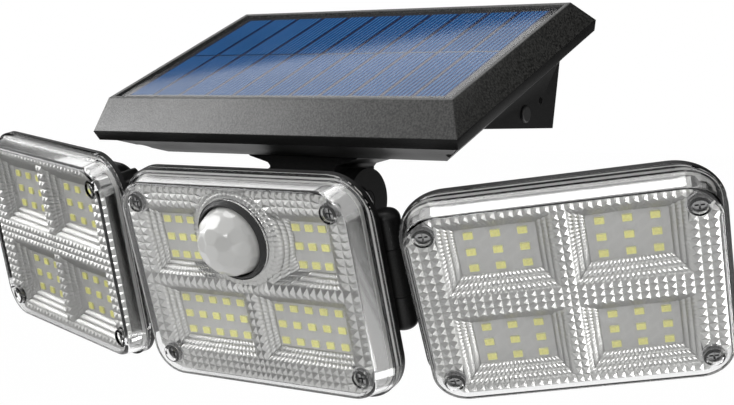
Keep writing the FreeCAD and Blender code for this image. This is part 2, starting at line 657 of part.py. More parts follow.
def button_and_light():
    face = f"({foot_side('button_z')} + button_stand)"
    collar_x = "(foot_half_low - foot_wall - arm_gap)"
    tail = f"({collar_x} - collar_thick - button_tail)"
    axis = ("button_y", "button_z")
    stem = rod("button_stem", "button_radius", (tail, face), axis, "x")
    collar = rod("button_collar", "button_radius + collar_reach",
                 (f"{collar_x} - collar_thick", collar_x), axis, "x")
    outer = lies_at("x", stem_end(stem))
    piece("mode_button", fuse("button", fillet("button_stem_round", stem, size("button_round"),
                                               outer), collar), WORLD)

    plunger = f"({tail} - button_travel - 0.1)"
    half = "(button_radius - 0.5)"
    switch = block("switch", (f"{plunger} - button_radius", plunger),
                   (f"button_y - {half}", f"button_y + {half}"),
                   (FOOT_FLOOR, f"button_z + {half}"))
    piece("button_switch", switch, WORLD)

    pipe = rod("light_pipe", "charge_radius",
               (f"{foot_side('charge_z')} - 2*foot_wall", foot_side("charge_z")),
               ("charge_y", "charge_z"), "x")
    piece("charge_light", pipe, WORLD)


def stem_end(item):
    """The x where a rod that lies along X ends."""
    doc.recompute()
    return item.Shape.BoundBox.XMax


# ---------------------------------------------------------------- neck

def neck_middle():
    """Where the upright neck's axis meets the pan's bottom, in the panel's frame."""
    reach = size("hinge_y") + size("panel_back")
    return (reach - PAN_DEPTH * math.sin(TILT)) / math.cos(TILT)


def neck_screw_places():
    middle = at(0, neck_middle())
    return [middle.multiply(place) for place in corners(size("neck_screw_x"),
                                                        size("neck_screw_y"))]


def neck():
    """Moulded neck: a wide flare under the pan, a waist, then a round knuckle."""
    waist = size("hinge_z") + size("waist_rise")
    top = size("foot_top")
    right = [(size("neck_half"), size("hinge_z")), (size("neck_half"), waist - 1),
             (size("neck_half") + 1.2, waist + 0.4),
             (size("flare_low_half"), waist + size("flare_low_rise")),
             (size("flare_half"), waist + size("flare_rise")), (size("flare_half"), top)]
    outline = right + [(-x, z) for x, z in reversed(right)]
    body = doc.addObject("PartDesign::Body", "neck_body")
    sketch = body.newObject("Sketcher::SketchObject", "neck_outline")
    plane = next(item for item in body.Origin.OriginFeatures if item.Role == "XZ_Plane")
    sketch.AttachmentSupport = [(plane, "")]
    sketch.MapMode = "FlatFace"
    for start, end in zip(outline, outline[1:] + outline[:1]):
        sketch.addGeometry(Part.LineSegment(Vector(*start, 0), Vector(*end, 0)), False)
    pad = body.newObject("PartDesign::Pad", "neck_pad")
    pad.Profile = sketch
    pad.Midplane = True
    bind(pad, Length="neck_depth")
    bind_base(body, "0", "hinge_y", "0")

    axis = ("hinge_y", "hinge_z")
    knuckle = rod("neck_knuckle", "knuckle_radius", both("neck_half"), axis, "x")
    above = group("neck_above", block("neck_above_block", both(RIM[0]), both(RIM[1]),
                                      (PAN_Z, "foot_reach")))
    above.Placement = PANEL
    hole = rod("neck_bolt_hole", "tilt_bolt_radius + bolt_slip", both(f"neck_half + {PASS}"),
               axis, "x")
    passage = rod("neck_passage", "wire_radius",
                  ("hinge_z + tilt_bolt_radius + wire_radius + 1", "foot_top"),
                  ("0", "hinge_y"))
    way_out = rod("neck_way_out", "wire_radius", ("hinge_y", "hinge_y + neck_depth"),
                  ("0", "hinge_z + tilt_bolt_radius + 2*wire_radius"), "y")
    thread = rod("neck_thread", "screw_radius + screw_slip",
                 (f"{PAN_Z} - neck_screw_bite - screw_radius/2", f"{PAN_Z} + {PASS}"),
                 ("0", "0"))
    threads = set_of("neck_threads", thread, neck_screw_places())
    threads.Placement = PANEL
    foot = block("neck_foot", both("foot_half_low"), ("-foot_reach", "0"),
                 ("-foot_bottom", "foot_top"))
    piece("neck", cut("neck_shape", fuse("neck_solid", body, knuckle), above, foot, hole, passage,
                      way_out, threads), WORLD)

    floor = size("shell_wall") - PAN_DEPTH
    down = Placement(Vector(0, 0, floor), Rotation(Vector(1, 0, 0), 180))
    places = [place.multiply(down) for place in neck_screw_places()]
    piece("neck_screws", set_of("neck_screw_set", screw("neck_screw",
                                                        "shell_wall + neck_screw_bite"),
                                places), PANEL)


# ---------------------------------------------------------------- lamp heads

COVER_FRONT = "-cover_rise"
FLANGE_BACK = "(flange_front + flange_thick)"
HEAD_BACK = f"({FLANGE_BACK} + rear_depth)"
REFLECTOR_BACK = "(reflector_front + reflector_deep)"
BOARD_BACK = f"({REFLECTOR_BACK} + board_thick)"
HALF_HEIGHT = "head_height/2"


def rounded(name, width, inset, depths, radius):
    """A block with the flange's outline drawn in by an inset, its corners rounded."""
    raw = block(name + "_block", both(f"{width}/2 - ({inset})"), depths,
                both(f"{HALF_HEIGHT} - ({inset})"))
    return fillet(name, raw, radius, runs_along("y"))


def cover_outline(width, depth, inset):
    """The x and z rule pairs of the cover's leaning walls at a depth, drawn in by an inset."""
    share = f"(({depth}) + cover_rise)/({FLANGE_BACK} + cover_rise)"
    return tuple(both(f"{face}/2 + ({full}/2 - cover_inset - {face}/2)*{share} - ({inset})")
                 for face, full in (("face_width", width), ("face_height", "head_height")))


def leaning(name, front, back, depths, radius):
    """A tapered block with rounded corners."""
    raw = taper(name + "_block", front, back, depths)
    return fillet(name, raw, radius, lambda edge: edge.BoundBox.YLength > 1.0)


def head_screws(depth):
    """The four screw places of a head, with Z turned to run backwards."""
    back = Rotation(Vector(1, 0, 0), -90)
    x, z = size("screw_x"), size("screw_z")
    return [Placement(Vector(sx * x, depth, sz * z), back) for sx in (-1, 1) for sz in (-1, 1)]


def windows_of(centre):
    """The reflector's windows: middle x and z, LEDs across and up, pitch across and up."""
    if centre:
        kinds = [(size("top_led_x"), size("top_led_z"), 3, 3, "top"),
                 (size("low_led_x"), -size("low_led_z"), 5, 3, "low")]
    else:
        kinds = [(size("side_led_x"), up * size("side_led_z"), 3, 3, "side") for up in (1, -1)]
    return [(sign * x, z, across, up, size(kind + "_pitch_x"), size(kind + "_pitch_z"))
            for x, z, across, up, kind in kinds for sign in (-1, 1)]


def clear_cover(name, width, centre):
    """Clear front: a shallow tub with a flange, and a boss with a pocket at each screw."""
    tub = fillet(name + "_tub",
                 leaning(name + "_walls", cover_outline(width, COVER_FRONT, "0"),
                         cover_outline(width, FLANGE_BACK, "0"), (COVER_FRONT, FLANGE_BACK),
                         size("cover_corner")),
                 size("cover_round"), lies_at("y", -size("cover_rise")))
    flange = rounded(name + "_flange", width, "0", ("flange_front", FLANGE_BACK),
                     size("flange_round"))
    room_ends = (f"{COVER_FRONT} + cover_wall", f"{FLANGE_BACK} + {PASS}")
    room = leaning(name + "_room", cover_outline(width, room_ends[0], "cover_wall"),
                   cover_outline(width, room_ends[1], "cover_wall"), room_ends,
                   size("cover_corner") - size("cover_wall"))
    boss = rod(name + "_boss", "cover_boss", ("0", f"{FLANGE_BACK} - {COVER_FRONT} - cover_wall/2"),
               ("0", "0"))
    bosses = set_of(name + "_bosses", boss,
                    head_screws(size("cover_wall") / 2 - size("cover_rise")))
    pocket = rod(name + "_pocket", "pocket_radius",
                 (f"{COVER_FRONT} - {PASS}", "head_screw_seat"), ("0", "0"))
    bore = rod(name + "_bore", "screw_radius + screw_clear", ("0", f"{FLANGE_BACK} + {PASS}"),
               ("0", "0"))
    drills = set_of(name + "_drills", fuse(name + "_drill", pocket, bore), head_screws(0))
    tools = [drills]
    if centre:
        tools.append(rod(name + "_eye", "ring_radius + ring_gap",
                         (f"{COVER_FRONT} - {PASS}", "0"), ("0", "sensor_z"), "y"))
    hollow = cut(name + "_hollow", fuse(name + "_skin", tub, flange), room)
    return cut(name, fuse(name + "_solid", hollow, bosses), *tools)


def reflector(name, width, centre):
    """Plated reflector: a plate with a drafted side band and sloped windows."""
    soft = leaning(name + "_soft", (both("mirror_width/2"), both("mirror_height/2")),
                   cover_outline(width, REFLECTOR_BACK, "cover_wall + reflector_gap"),
                   ("reflector_front", REFLECTOR_BACK), size("mirror_corner"))
    margin_x, margin_z, slope = (("window_margin", "window_margin", "window_slope") if centre
                                 else ("side_margin_x", "side_margin_z", "side_slope"))
    holes = []
    for number, (x, z, across, up, pitch_x, pitch_z) in enumerate(windows_of(centre)):
        half_x = f"({(across - 1) * pitch_x / 2} + led_length/2 + {margin_x})"
        half_z = f"({(up - 1) * pitch_z / 2} + led_width/2 + {margin_z})"
        left, right = span(x, f"{half_x} + {slope}")
        if centre and z > 0:
            left, right = ((f"{left} - ring_reach", right) if x > 0
                           else (left, f"{right} + ring_reach"))
        holes.append(taper(f"{name}_window_{number}",
                           ((left, right), span(z, f"{half_z} + {slope}")),
                           (span(x, half_x), span(z, half_z)),
                           ("reflector_front", REFLECTOR_BACK)))
    through = (f"reflector_front - {PASS}", f"{REFLECTOR_BACK} + {PASS}")
    pillar = rod(name + "_pillar", "cover_boss + boss_gap + pillar_wall", through, ("0", "0"))
    kept = [set_of(name + "_pillars", pillar, head_screws(0))]
    openings = [boss_holes(name, "0", through[1])]
    if centre:
        lean = f"{PASS}*ring_slope/reflector_deep"
        kept.append(cone(name + "_moat", f"ring_radius + ring_moat - {lean}",
                         f"ring_radius + ring_moat + ring_slope + {lean}", through,
                         ("0", "sensor_z"), "y"))
        openings.append(rod(name + "_eye", "ring_radius + ring_gap", through,
                            ("0", "sensor_z"), "y"))
    windows = cut(name + "_windows", group(name + "_window_set", *holes), *kept)
    return cut(name, soft, windows, *openings)


def span(middle, half):
    return f"{middle} - ({half})", f"{middle} + {half}"


def boss_holes(name, start, end):
    """Room for the clear cover's four screw bosses."""
    hole = rod(name + "_boss_hole", "cover_boss + boss_gap", (start, end), ("0", "0"))
    return set_of(name + "_boss_holes", hole, head_screws(0))


def led_board(name, width):
    outline = cover_outline(width, REFLECTOR_BACK, "cover_wall + reflector_gap")
    plate = leaning(name + "_plate", outline, outline, (REFLECTOR_BACK, BOARD_BACK),
                    size("mirror_corner"))
    return cut(name, plate, boss_holes(name, "0", f"{BOARD_BACK} + {PASS}"))


def leds(name, centre):
    one = block(name + "_one", both("led_length/2"),
                (f"{REFLECTOR_BACK} - led_thick", REFLECTOR_BACK), both("led_width/2"))
    places = [at(x + (column - (across - 1) / 2) * pitch_x, 0, z + (row - (up - 1) / 2) * pitch_z)
              for x, z, across, up, pitch_x, pitch_z in windows_of(centre)
              for column in range(across) for row in range(up)]
    return set_of(name, one, places)


def gasket(name, width):
    corner = size("gasket_corner")
    depths = (FLANGE_BACK, f"{FLANGE_BACK} + gasket_thick")
    outer = rounded(name + "_outer", width, "gasket_inset", depths, corner)
    inner = rounded(name + "_inner", width, "gasket_inset + gasket_width",
                    (f"{FLANGE_BACK} - {PASS}", f"{FLANGE_BACK} + gasket_thick + {PASS}"),
                    corner - size("gasket_width"))
    return cut(name, outer, inner)


def rear_housing(name, width, knuckles, linings, openings):
    """Black rear housing; knuckles stand on it, and linings thicken its wall inside."""
    depths = (FLANGE_BACK, HEAD_BACK)
    head_back = size("flange_front") + size("flange_thick") + size("rear_depth")
    shell = fillet(name + "_shell",
                   rounded(name + "_walls", width, "rear_inset", depths, size("rear_corner")),
                   size("rear_round"), lies_at("y", head_back))
    flange = rounded(name + "_flange", width, "0", (FLANGE_BACK, f"{FLANGE_BACK} + rear_flange"),
                     size("flange_round"))
    outline = cover_outline(width, BOARD_BACK, "cover_wall + rib_gap")
    rib = leaning(name + "_rib", outline, outline, (BOARD_BACK, f"{FLANGE_BACK} + {PASS}"),
                  size("cover_corner") - size("cover_wall") - size("rib_gap"))
    room = rounded(name + "_room", width, "rear_inset + rear_wall",
                   (f"{BOARD_BACK} - {PASS}", f"{HEAD_BACK} - rear_wall"),
                   size("rear_corner") - size("rear_wall"))
    body = cut(name + "_body", fuse(name + "_skin", shell, flange, rib, *knuckles), room)
    boss = rod(name + "_boss", "rear_boss", (BOARD_BACK, f"{HEAD_BACK} - rear_wall/2"), ("0", "0"))
    bosses = set_of(name + "_bosses", boss, head_screws(0))
    kept = [common(name + "_linings", shell, group(name + "_lining_set", *linings))] if linings else []
    solid = fuse(name + "_solid", body, bosses, *kept)
    bore = rod(name + "_bore", "screw_radius + screw_slip",
               (f"{BOARD_BACK} - {PASS}", "head_screw_seat + head_screw_length + screw_radius/2"),
               ("0", "0"))
    bores = set_of(name + "_bores", bore, head_screws(0))
    return cut(name, solid, bores, cover_boss_room(name), gasket(name + "_groove", width),
               *openings)


def cover_boss_room(name):
    """The rear housing's rib gives way to the cover's bosses, which seat on its flange."""
    hole = rod(name + "_boss_room", "cover_boss + boss_gap", ("0", FLANGE_BACK), ("0", "0"))
    return set_of(name + "_boss_rooms", hole, head_screws(0))


def head_pieces(prefix, width, place, centre, knuckles, linings, openings):
    """The seven pieces that every lamp head has."""
    made = {
        "rear_housing": rear_housing(prefix + "_rear", width, knuckles, linings, openings),
        "gasket": gasket(prefix + "_seal", width),
        "led_board": led_board(prefix + "_board", width),
        "leds": leds(prefix + "_lamps", centre),
        "reflector": reflector(prefix + "_mirror", width, centre),
        "cover": clear_cover(prefix + "_front", width, centre),
        "screws": set_of(prefix + "_screw_set", screw(prefix + "_screw", "head_screw_length"),
                         head_screws(size("head_screw_seat"))),
    }
    for kind, item in made.items():
        piece(f"{prefix}_{kind}", item, place)


def is_circle(edge):
    return edge.Curve.TypeId == "Part::GeomCircle"


ARM_ENDS = ("swivel_z - arm_half", "swivel_z + arm_half")
RECESS_ENDS = ("swivel_z - arm_half - arm_gap", "swivel_z + arm_half + arm_gap")
KNUCKLE_ENDS = ("swivel_z - swivel_half", "swivel_z + swivel_half")
PIN_TOP = "(swivel_z + swivel_half - swivel_round)"


def swivel_parts(side):
    """Beside the centre head: fixed knuckles with a web, the recess's lining, and the cuts."""
    name = "right_pivot" if side > 0 else "left_pivot"
    axis = (f"{side}*swivel_x", "swivel_y")
    column = fillet(name + "_column", rod(name + "_rod", "swivel_radius", KNUCKLE_ENDS, axis),
                    size("swivel_round"), is_circle)
    web_x = outwards(side, "centre_width/2 - rear_inset - 2*rear_wall", "swivel_x")
    web = block(name + "_web", web_x, (f"{HEAD_BACK} - swivel_web", HEAD_BACK),
                (f"{KNUCKLE_ENDS[0]} + swivel_round", f"{KNUCKLE_ENDS[1]} - swivel_round"))
    lining = rod(name + "_lining", "swivel_radius + arm_gap + rear_wall",
                 (f"{RECESS_ENDS[0]} - rear_wall", f"{RECESS_ENDS[1]} + rear_wall"), axis)
    recess = rod(name + "_recess", "swivel_radius + arm_gap", RECESS_ENDS, axis)
    hole = rod(name + "_hole", "pin_radius + bolt_slip", (f"{KNUCKLE_ENDS[0]} - {PASS}", PIN_TOP),
               axis)
    return column, web, lining, group(name + "_cuts", recess, hole)


def outwards(side, near, far):
    """The x rule pair from a near to a far distance, on the right or mirrored on the left."""
    return (near, far) if side > 0 else (f"-({far})", f"-({near})")


def swivel_pin(side):
    name = "right_swivel_pin" if side > 0 else "left_swivel_pin"
    pin = rod(name + "_rod", "pin_radius", (f"{KNUCKLE_ENDS[0]} + pin_cover", PIN_TOP),
              (f"{side}*swivel_x", "swivel_y"))
    piece(name, pin, HEAD)


# ---------------------------------------------------------------- centre head

EAR_X = ("neck_half + ear_gap", "neck_half + ear_gap + ear_thick")
TILT_AXIS = ("bracket_reach", "bracket_rise")


def plate_screw_places(depth):
    back = Rotation(Vector(1, 0, 0), -90)
    x, z, middle = size("plate_screw_x"), size("plate_screw_z"), size("bracket_rise")
    return [Placement(Vector(sx * x, depth, middle + sz * z), back)
            for sx in (-1, 1) for sz in (-1, 1)]


def centre_head():
    columns, webs, linings, cuts = zip(swivel_parts(1), swivel_parts(-1))
    bore = rod("bracket_clear", "screw_radius + screw_clear",
               (f"{HEAD_BACK} - rear_wall - {PASS}", f"{HEAD_BACK} + {PASS}"), ("0", "0"))
    bores = set_of("bracket_clears", bore, plate_screw_places(0))
    passage = rod("centre_passage", "wire_radius",
                  (f"{HEAD_BACK} - rear_wall - {PASS}", f"{HEAD_BACK} + {PASS}"),
                  ("0", "bracket_rise"), "y")
    head_pieces("centre", "centre_width", HEAD, True, columns + webs, linings,
                (*cuts, bores, passage))
    for side in (1, -1):
        swivel_pin(side)


def head_bracket():
    """Yoke on the centre head's back, with an ear on each side of the neck's knuckle."""
    plate = block("yoke_plate", both(EAR_X[1]), (HEAD_BACK, f"{HEAD_BACK} + plate_thick"),
                  ("bracket_rise - plate_half", "bracket_rise + plate_half"))
    ears = []
    for side in (1, -1):
        x = outwards(side, *EAR_X)
        ears.append(rod(f"yoke_eye_{side}", "ear_radius", x, TILT_AXIS, "x"))
        ears.append(block(f"yoke_arm_{side}", x, (HEAD_BACK, "bracket_reach"),
                          ("bracket_rise - ear_half", "bracket_rise + ear_half")))
    hole = rod("yoke_hole", "tilt_bolt_radius + bolt_slip", both(f"{EAR_X[1]} + {PASS}"),
               TILT_AXIS, "x")
    head_well = rod("yoke_head_well", "tilt_head_radius + tilt_well_gap",
                    (f"{EAR_X[1]} - tilt_head_thick - washer_thick", f"{EAR_X[1]} + {PASS}"),
                    TILT_AXIS, "x")
    nut_well = rod("yoke_nut_well", "nut_flats/sqrt(3) + tilt_well_gap",
                   (f"-({EAR_X[1]}) - {PASS}", f"nut_thick + washer_thick - ({EAR_X[1]})"),
                   TILT_AXIS, "x")
    bore = rod("yoke_bore", "screw_radius + screw_slip",
               (f"{HEAD_BACK} - {PASS}", f"{HEAD_BACK} + plate_screw_bite + screw_radius/2"),
               ("0", "0"))
    bores = set_of("yoke_bores", bore, plate_screw_places(0))
    passage = rod("yoke_passage", "wire_radius",
                  (f"{HEAD_BACK} - {PASS}", f"{HEAD_BACK} + plate_thick + {PASS}"),
                  ("0", "bracket_rise"), "y")
    piece("head_bracket", cut("yoke", fuse("yoke_solid", plate, *ears), hole, head_well, nut_well,
                              bores, passage), HEAD)

    seat = size("flange_front") + size("flange_thick") + size("rear_depth") - size("rear_wall")
    one = screw("bracket_screw", "rear_wall + plate_screw_bite")
    piece("bracket_screws", set_of("bracket_screw_set", one, plate_screw_places(seat)), HEAD)


def tilt_bolt():
    outer = EAR_X[1]
    shank = rod("tilt_shank", "tilt_bolt_radius",
                (f"-({outer}) + washer_thick", f"{outer} - tilt_head_thick"), TILT_AXIS, "x")
    head = rod("tilt_head_rod", "tilt_head_radius", (f"{outer} - tilt_head_thick", outer),
               TILT_AXIS, "x")
    socket = rod("tilt_socket", "tilt_bolt_radius*0.8",
                 (f"{outer} - tilt_head_thick/2", f"{outer} + {PASS}"), TILT_AXIS, "x")
    piece("tilt_bolt", cut("tilt_bolt_shape", fuse("tilt_bolt_blank", shank, head), socket), HEAD)

    prism = doc.addObject("Part::Prism", "nut_prism")
    prism.Polygon = 6
    prism.Placement = Placement(Vector(), AXIS_TURNS["x"])
    bind(prism, Circumradius="nut_flats/sqrt(3)", Height="nut_thick")
    bind_base(prism, f"-({outer})", *TILT_AXIS)
    thread = rod("nut_thread", "tilt_bolt_radius + screw_slip",
                 (f"-({outer}) - {PASS}", f"-({outer}) + nut_thick + {PASS}"), TILT_AXIS, "x")
    piece("tilt_nut", cut("nut", prism, thread), HEAD)

    disc = rod("washer_disc", "tilt_head_radius", ("0", "washer_thick"), TILT_AXIS, "x")
    middle = rod("washer_hole", "tilt_bolt_radius + bolt_slip",
                 (f"-{PASS}", f"washer_thick + {PASS}"), TILT_AXIS, "x")
    washer = cut("washer", disc, middle)
    reach = size("neck_half") + size("ear_gap") + size("ear_thick")
    right = reach - size("tilt_head_thick") - size("washer_thick")
    left = size("nut_thick") - reach
    piece("tilt_washers", set_of("washer_pair", washer, [at(right), at(left)]), HEAD)


def motion_sensor():
    axis = ("0", "sensor_z")
    outer = doc.addObject("Part::Sphere", "dome_outer")
    bind(outer, Radius="dome_radius")
    inner = doc.addObject("Part::Sphere", "dome_inner")
    bind(inner, Radius="dome_radius - dome_wall")
    for ball in (outer, inner):
        bind_base(ball, "0", "-dome_base", "sensor_z")
    behind = block("dome_behind", both("dome_radius + 1"), ("-dome_base", "dome_radius + 1"),
                   span("sensor_z", "dome_radius + 1"))
    piece("sensor_dome", cut("dome", outer, inner, behind), HEAD)

    slant = cone("ring_slant_cone", "dome_radius + ring_gap + ring_lip", "ring_radius",
                 ("-ring_rise", "ring_slant - ring_rise"), axis, "y")
    tube = fuse("ring_skin", slant, rod("ring_tube", "ring_radius",
                                        ("ring_slant - ring_rise", REFLECTOR_BACK), axis, "y"))
    bore = rod("ring_bore", "dome_radius + ring_gap", (f"-ring_rise - {PASS}", "-dome_base"),
               axis, "y")
    through = rod("ring_through", "dome_radius - ring_shoulder",
                  (f"-ring_rise - {PASS}", f"{REFLECTOR_BACK} + {PASS}"), axis, "y")
    piece("sensor_ring", cut("ring", tube, bore, through), HEAD)

    can = rod("element_can", "element_radius",
              (f"{REFLECTOR_BACK} - element_thick", REFLECTOR_BACK), axis, "y")
    eye = block("element_eye", both("element_radius*0.45"),
                (f"{REFLECTOR_BACK} - element_thick - 1", f"{REFLECTOR_BACK} - element_thick + 0.4"),
                span("sensor_z", "element_radius*0.35"))
    piece("sensor_element", cut("element", can, eye), HEAD)


# ---------------------------------------------------------------- arms and side heads

FORK = ["fork_start"]
for step in ("fork_near", "fork_gap", "head_knuckle", "fork_gap", "fork_far"):
    FORK.append(f"{FORK[-1]} + {step}")
NEAR_START, NEAR_END, KNUCKLE_START, KNUCKLE_END, FAR_START, FAR_END = FORK
ARM_TILT_AXIS = ("side_axis", "0")
HEAD_TILT_AXIS = ("swivel_y + side_axis", "0")


def arm(side, node, place):
    """Arm: a knuckle on the swivel pin, a cranked plate, and a fork round the head's knuckle."""
    near_end = size("fork_start") + size("fork_near")
    far_end = near_end + 2 * size("fork_gap") + size("head_knuckle") + size("fork_far")
    front = size("side_axis") - size("arm_front")
    bridge = size("side_axis") + size("side_knuckle") + size("fork_gap")
    back = bridge + size("arm_thick")
    radius = size("swivel_radius")
    outline = [(0, -0.94 * radius), (0.55 * radius, -0.8 * radius), (1.2 * radius, -0.2 * radius),
               (size("fork_start") - 0.5, front), (near_end, front), (near_end, bridge),
               (far_end, bridge), (far_end, back), (size("fork_start") + size("arm_heel"), back),
               (size("fork_start") - size("crank_run"), back - size("crank_rise")),
               (0.27 * radius, 0.95 * radius)]
    body = doc.addObject("PartDesign::Body", node + "_body")
    sketch = body.newObject("Sketcher::SketchObject", node + "_outline")
    plane = next(item for item in body.Origin.OriginFeatures if item.Role == "XY_Plane")
    sketch.AttachmentSupport = [(plane, "")]
    sketch.MapMode = "FlatFace"
    for start, end in zip(outline, outline[1:] + outline[:1]):
        sketch.addGeometry(Part.LineSegment(Vector(side * start[0], start[1], 0),
                                            Vector(side * end[0], end[1], 0)), False)
    pad = body.newObject("PartDesign::Pad", node + "_pad")
    pad.Profile = sketch
    bind(pad, Length="arm_top - swivel_z + arm_half")
    bind_base(body, "0", "0", "swivel_z - arm_half")

    knuckle = rod(node + "_knuckle", "swivel_radius", ARM_ENDS, ("0", "0"))
    near = rod(node + "_near", "side_knuckle", outwards(side, NEAR_START, NEAR_END),
               ARM_TILT_AXIS, "x")
    far = rod(node + "_far", "side_knuckle", outwards(side, FAR_START, FAR_END),
              ARM_TILT_AXIS, "x")
    root = block(node + "_root", outwards(side, FAR_START, FAR_END),
                 ("side_axis", "side_axis + side_knuckle + fork_gap"), both("side_knuckle"))
    pin_hole = rod(node + "_pin_hole", "pin_radius + bolt_slip",
                   (f"{ARM_ENDS[0]} - {PASS}", f"{ARM_ENDS[1]} + {PASS}"), ("0", "0"))
    bolt_hole = rod(node + "_bolt_hole", "pin_radius + bolt_slip",
                    outwards(side, FAR_START + f" - {PASS}", FAR_END + f" + {PASS}"),
                    ARM_TILT_AXIS, "x")
    seat = rod(node + "_seat", "insert_radius",
               outwards(side, f"{NEAR_END} - insert_length", NEAR_END), ARM_TILT_AXIS, "x")
    piece(node, cut(node + "_shape", fuse(node + "_solid", body, knuckle, near, far, root),
                    pin_hole, bolt_hole, seat), place)


def side_bolt(side, prefix, place):
    """The tilt bolt of a side head, with its threaded insert in the arm."""
    shank = rod(prefix + "_shank", "pin_radius",
                outwards(side, f"{NEAR_END} - insert_length", FAR_END), ARM_TILT_AXIS, "x")
    head = rod(prefix + "_head", "side_bolt_head",
               outwards(side, FAR_END, f"{FAR_END} + side_bolt_thick"), ARM_TILT_AXIS, "x")
    socket = rod(prefix + "_socket", "pin_radius*0.8",
                 outwards(side, f"{FAR_END} + side_bolt_thick/2",
                          f"{FAR_END} + side_bolt_thick + {PASS}"), ARM_TILT_AXIS, "x")
    piece(prefix + "_tilt_bolt", cut(prefix + "_bolt", fuse(prefix + "_blank", shank, head),
                                     socket), place)
    sleeve = rod(prefix + "_sleeve", "insert_radius",
                 outwards(side, f"{NEAR_END} - insert_length", NEAR_END), ARM_TILT_AXIS, "x")
    thread = rod(prefix + "_thread", "pin_radius + screw_slip",
                 outwards(side, f"{NEAR_END} - insert_length - {PASS}", f"{NEAR_END} + {PASS}"),
                 ARM_TILT_AXIS, "x")
    piece(prefix + "_tilt_insert", cut(prefix + "_insert", sleeve, thread), place)


def side_head(side, prefix):
    swivel, tilt = size(prefix + "_swivel"), size(prefix + "_tilt")
    arm(side, prefix + "_arm", arm_place(side, swivel))
    side_bolt(side, prefix, arm_place(side, swivel))
    reach = outwards(side, f"{KNUCKLE_START} - side_reach", f"{KNUCKLE_END} - side_reach")
    knuckle = rod(prefix + "_eye", "side_knuckle", reach, HEAD_TILT_AXIS, "x")
    root = block(prefix + "_eye_root", reach, (f"{HEAD_BACK} - rear_wall/2", HEAD_TILT_AXIS[0]),
                 both("side_knuckle"))
    hole = rod(prefix + "_eye_hole", "pin_radius + bolt_slip",
               (f"{reach[0]} - {PASS}", f"{reach[1]} + {PASS}"), HEAD_TILT_AXIS, "x")
    head_pieces(prefix, "side_width", side_head_place(side, swivel, tilt), False,
                (knuckle, root), (), (hole,))


# ---------------------------------------------------------------- the whole light

upper_frame()
solar_panel()
lower_shell()
piece("housing_seal", seal_ring("seal"), PANEL)
case_screws()
control_board()
batteries()
button_and_light()
neck()
centre_head()
head_bracket()
tilt_bolt()
motion_sensor()
side_head(1, "right")
side_head(-1, "left")
doc.recompute()

faults = [f"{item.Name}: {', '.join(item.State)}" for item in doc.Objects
          if "Invalid" in item.State or "Error" in item.State]
for node, item in PIECES.items():
    if item.Shape.isNull() or not item.Shape.isValid() or not item.Shape.Solids:
        faults.append(f"{node}: no valid solid")
if faults:
    raise RuntimeError("; ".join(faults))

os.makedirs("parts", exist_ok=True)
for node, item in PIECES.items():
    item.Shape.exportStep(f"parts/{node}.step")
    box = item.Shape.BoundBox
    print(f"{node}: {len(item.Shape.Solids)} solids, {item.Shape.Volume:.0f} mm3, "
          f"x {box.XMin:.1f}..{box.XMax:.1f} y {box.YMin:.1f}..{box.YMax:.1f} "
          f"z {box.ZMin:.1f}..{box.ZMax:.1f}")
print(f"{len(PIECES)} pieces")
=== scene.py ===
import math

import bmesh
import bpy
from bpy.props import FloatProperty, FloatVectorProperty, IntProperty, PointerProperty
from mathutils import Matrix, Vector


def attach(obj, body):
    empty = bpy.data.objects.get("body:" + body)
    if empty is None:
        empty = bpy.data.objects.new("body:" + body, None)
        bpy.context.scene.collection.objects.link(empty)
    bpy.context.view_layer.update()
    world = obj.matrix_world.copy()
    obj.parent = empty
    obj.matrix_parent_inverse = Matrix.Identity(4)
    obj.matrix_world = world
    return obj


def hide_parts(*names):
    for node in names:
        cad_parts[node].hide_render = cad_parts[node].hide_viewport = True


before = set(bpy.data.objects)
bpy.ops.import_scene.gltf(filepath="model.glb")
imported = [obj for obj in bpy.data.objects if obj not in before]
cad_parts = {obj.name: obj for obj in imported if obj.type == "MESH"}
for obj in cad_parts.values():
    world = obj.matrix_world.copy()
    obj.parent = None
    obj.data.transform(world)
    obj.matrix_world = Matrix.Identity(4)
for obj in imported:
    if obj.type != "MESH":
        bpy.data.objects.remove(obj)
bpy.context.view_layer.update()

bl_info = {
    "name": "Wall light with three lamp heads",
    "version": (1, 0, 0),
    "blender": (4, 5, 0),
    "location": "3D View > Sidebar > Wall light",
    "description": "Dresses the frame of a solar wall light: housings, reflectors, sensor, panel",
    "category": "Object",
}

MM = 0.001


# ---------------------------------------------------------------- places in the light

# The light's own lengths and places are in mm, the stage's and the settings' in metres.

def moved(x, y, z):
    return Matrix.Translation(Vector((x, y, z)) * MM)


def turned(axis, degrees):
    return Matrix.Rotation(math.radians(degrees), 4, axis)


TILT_AXIS = (0, -68.5, -44)
CENTRE_TILT = 18.8
CENTRE_REACH = (0, -55.2, -14.8)
SWIVEL_PIN = (58, 18)
ARM_REACH = (64, 10)
SIDE_REACH = 28
CENTRE = moved(*TILT_AXIS) @ turned("X", CENTRE_TILT) @ moved(*CENTRE_REACH)


def side_place(side, swivel, tilt):
    """Frame of a side head: x across, y backwards from the plane of its screws, z up."""
    return (CENTRE @ moved(side * SWIVEL_PIN[0], SWIVEL_PIN[1], 0) @ turned("Z", side * swivel)
            @ moved(side * ARM_REACH[0], ARM_REACH[1], 0) @ turned("X", tilt)
            @ moved(0, -SIDE_REACH, 0))


HEADS = {"centre": CENTRE, "right": side_place(1, 26, 14), "left": side_place(-1, 16, -3)}
SENSOR_Z = 20.7

# Each window: middle x and z, LEDs across and up, LED pitch across and up
WINDOWS = {
    "centre": [(side * 32.3, 17.0, 3, 3, 6.1, 7.6) for side in (-1, 1)]
              + [(side * 24.1, -17.0, 5, 3, 7.15, 7.1) for side in (-1, 1)],
    "side": [(side * 23.0, up * 20.8, 3, 3, 9.6, 7.1) for side in (-1, 1) for up in (-1, 1)],
}
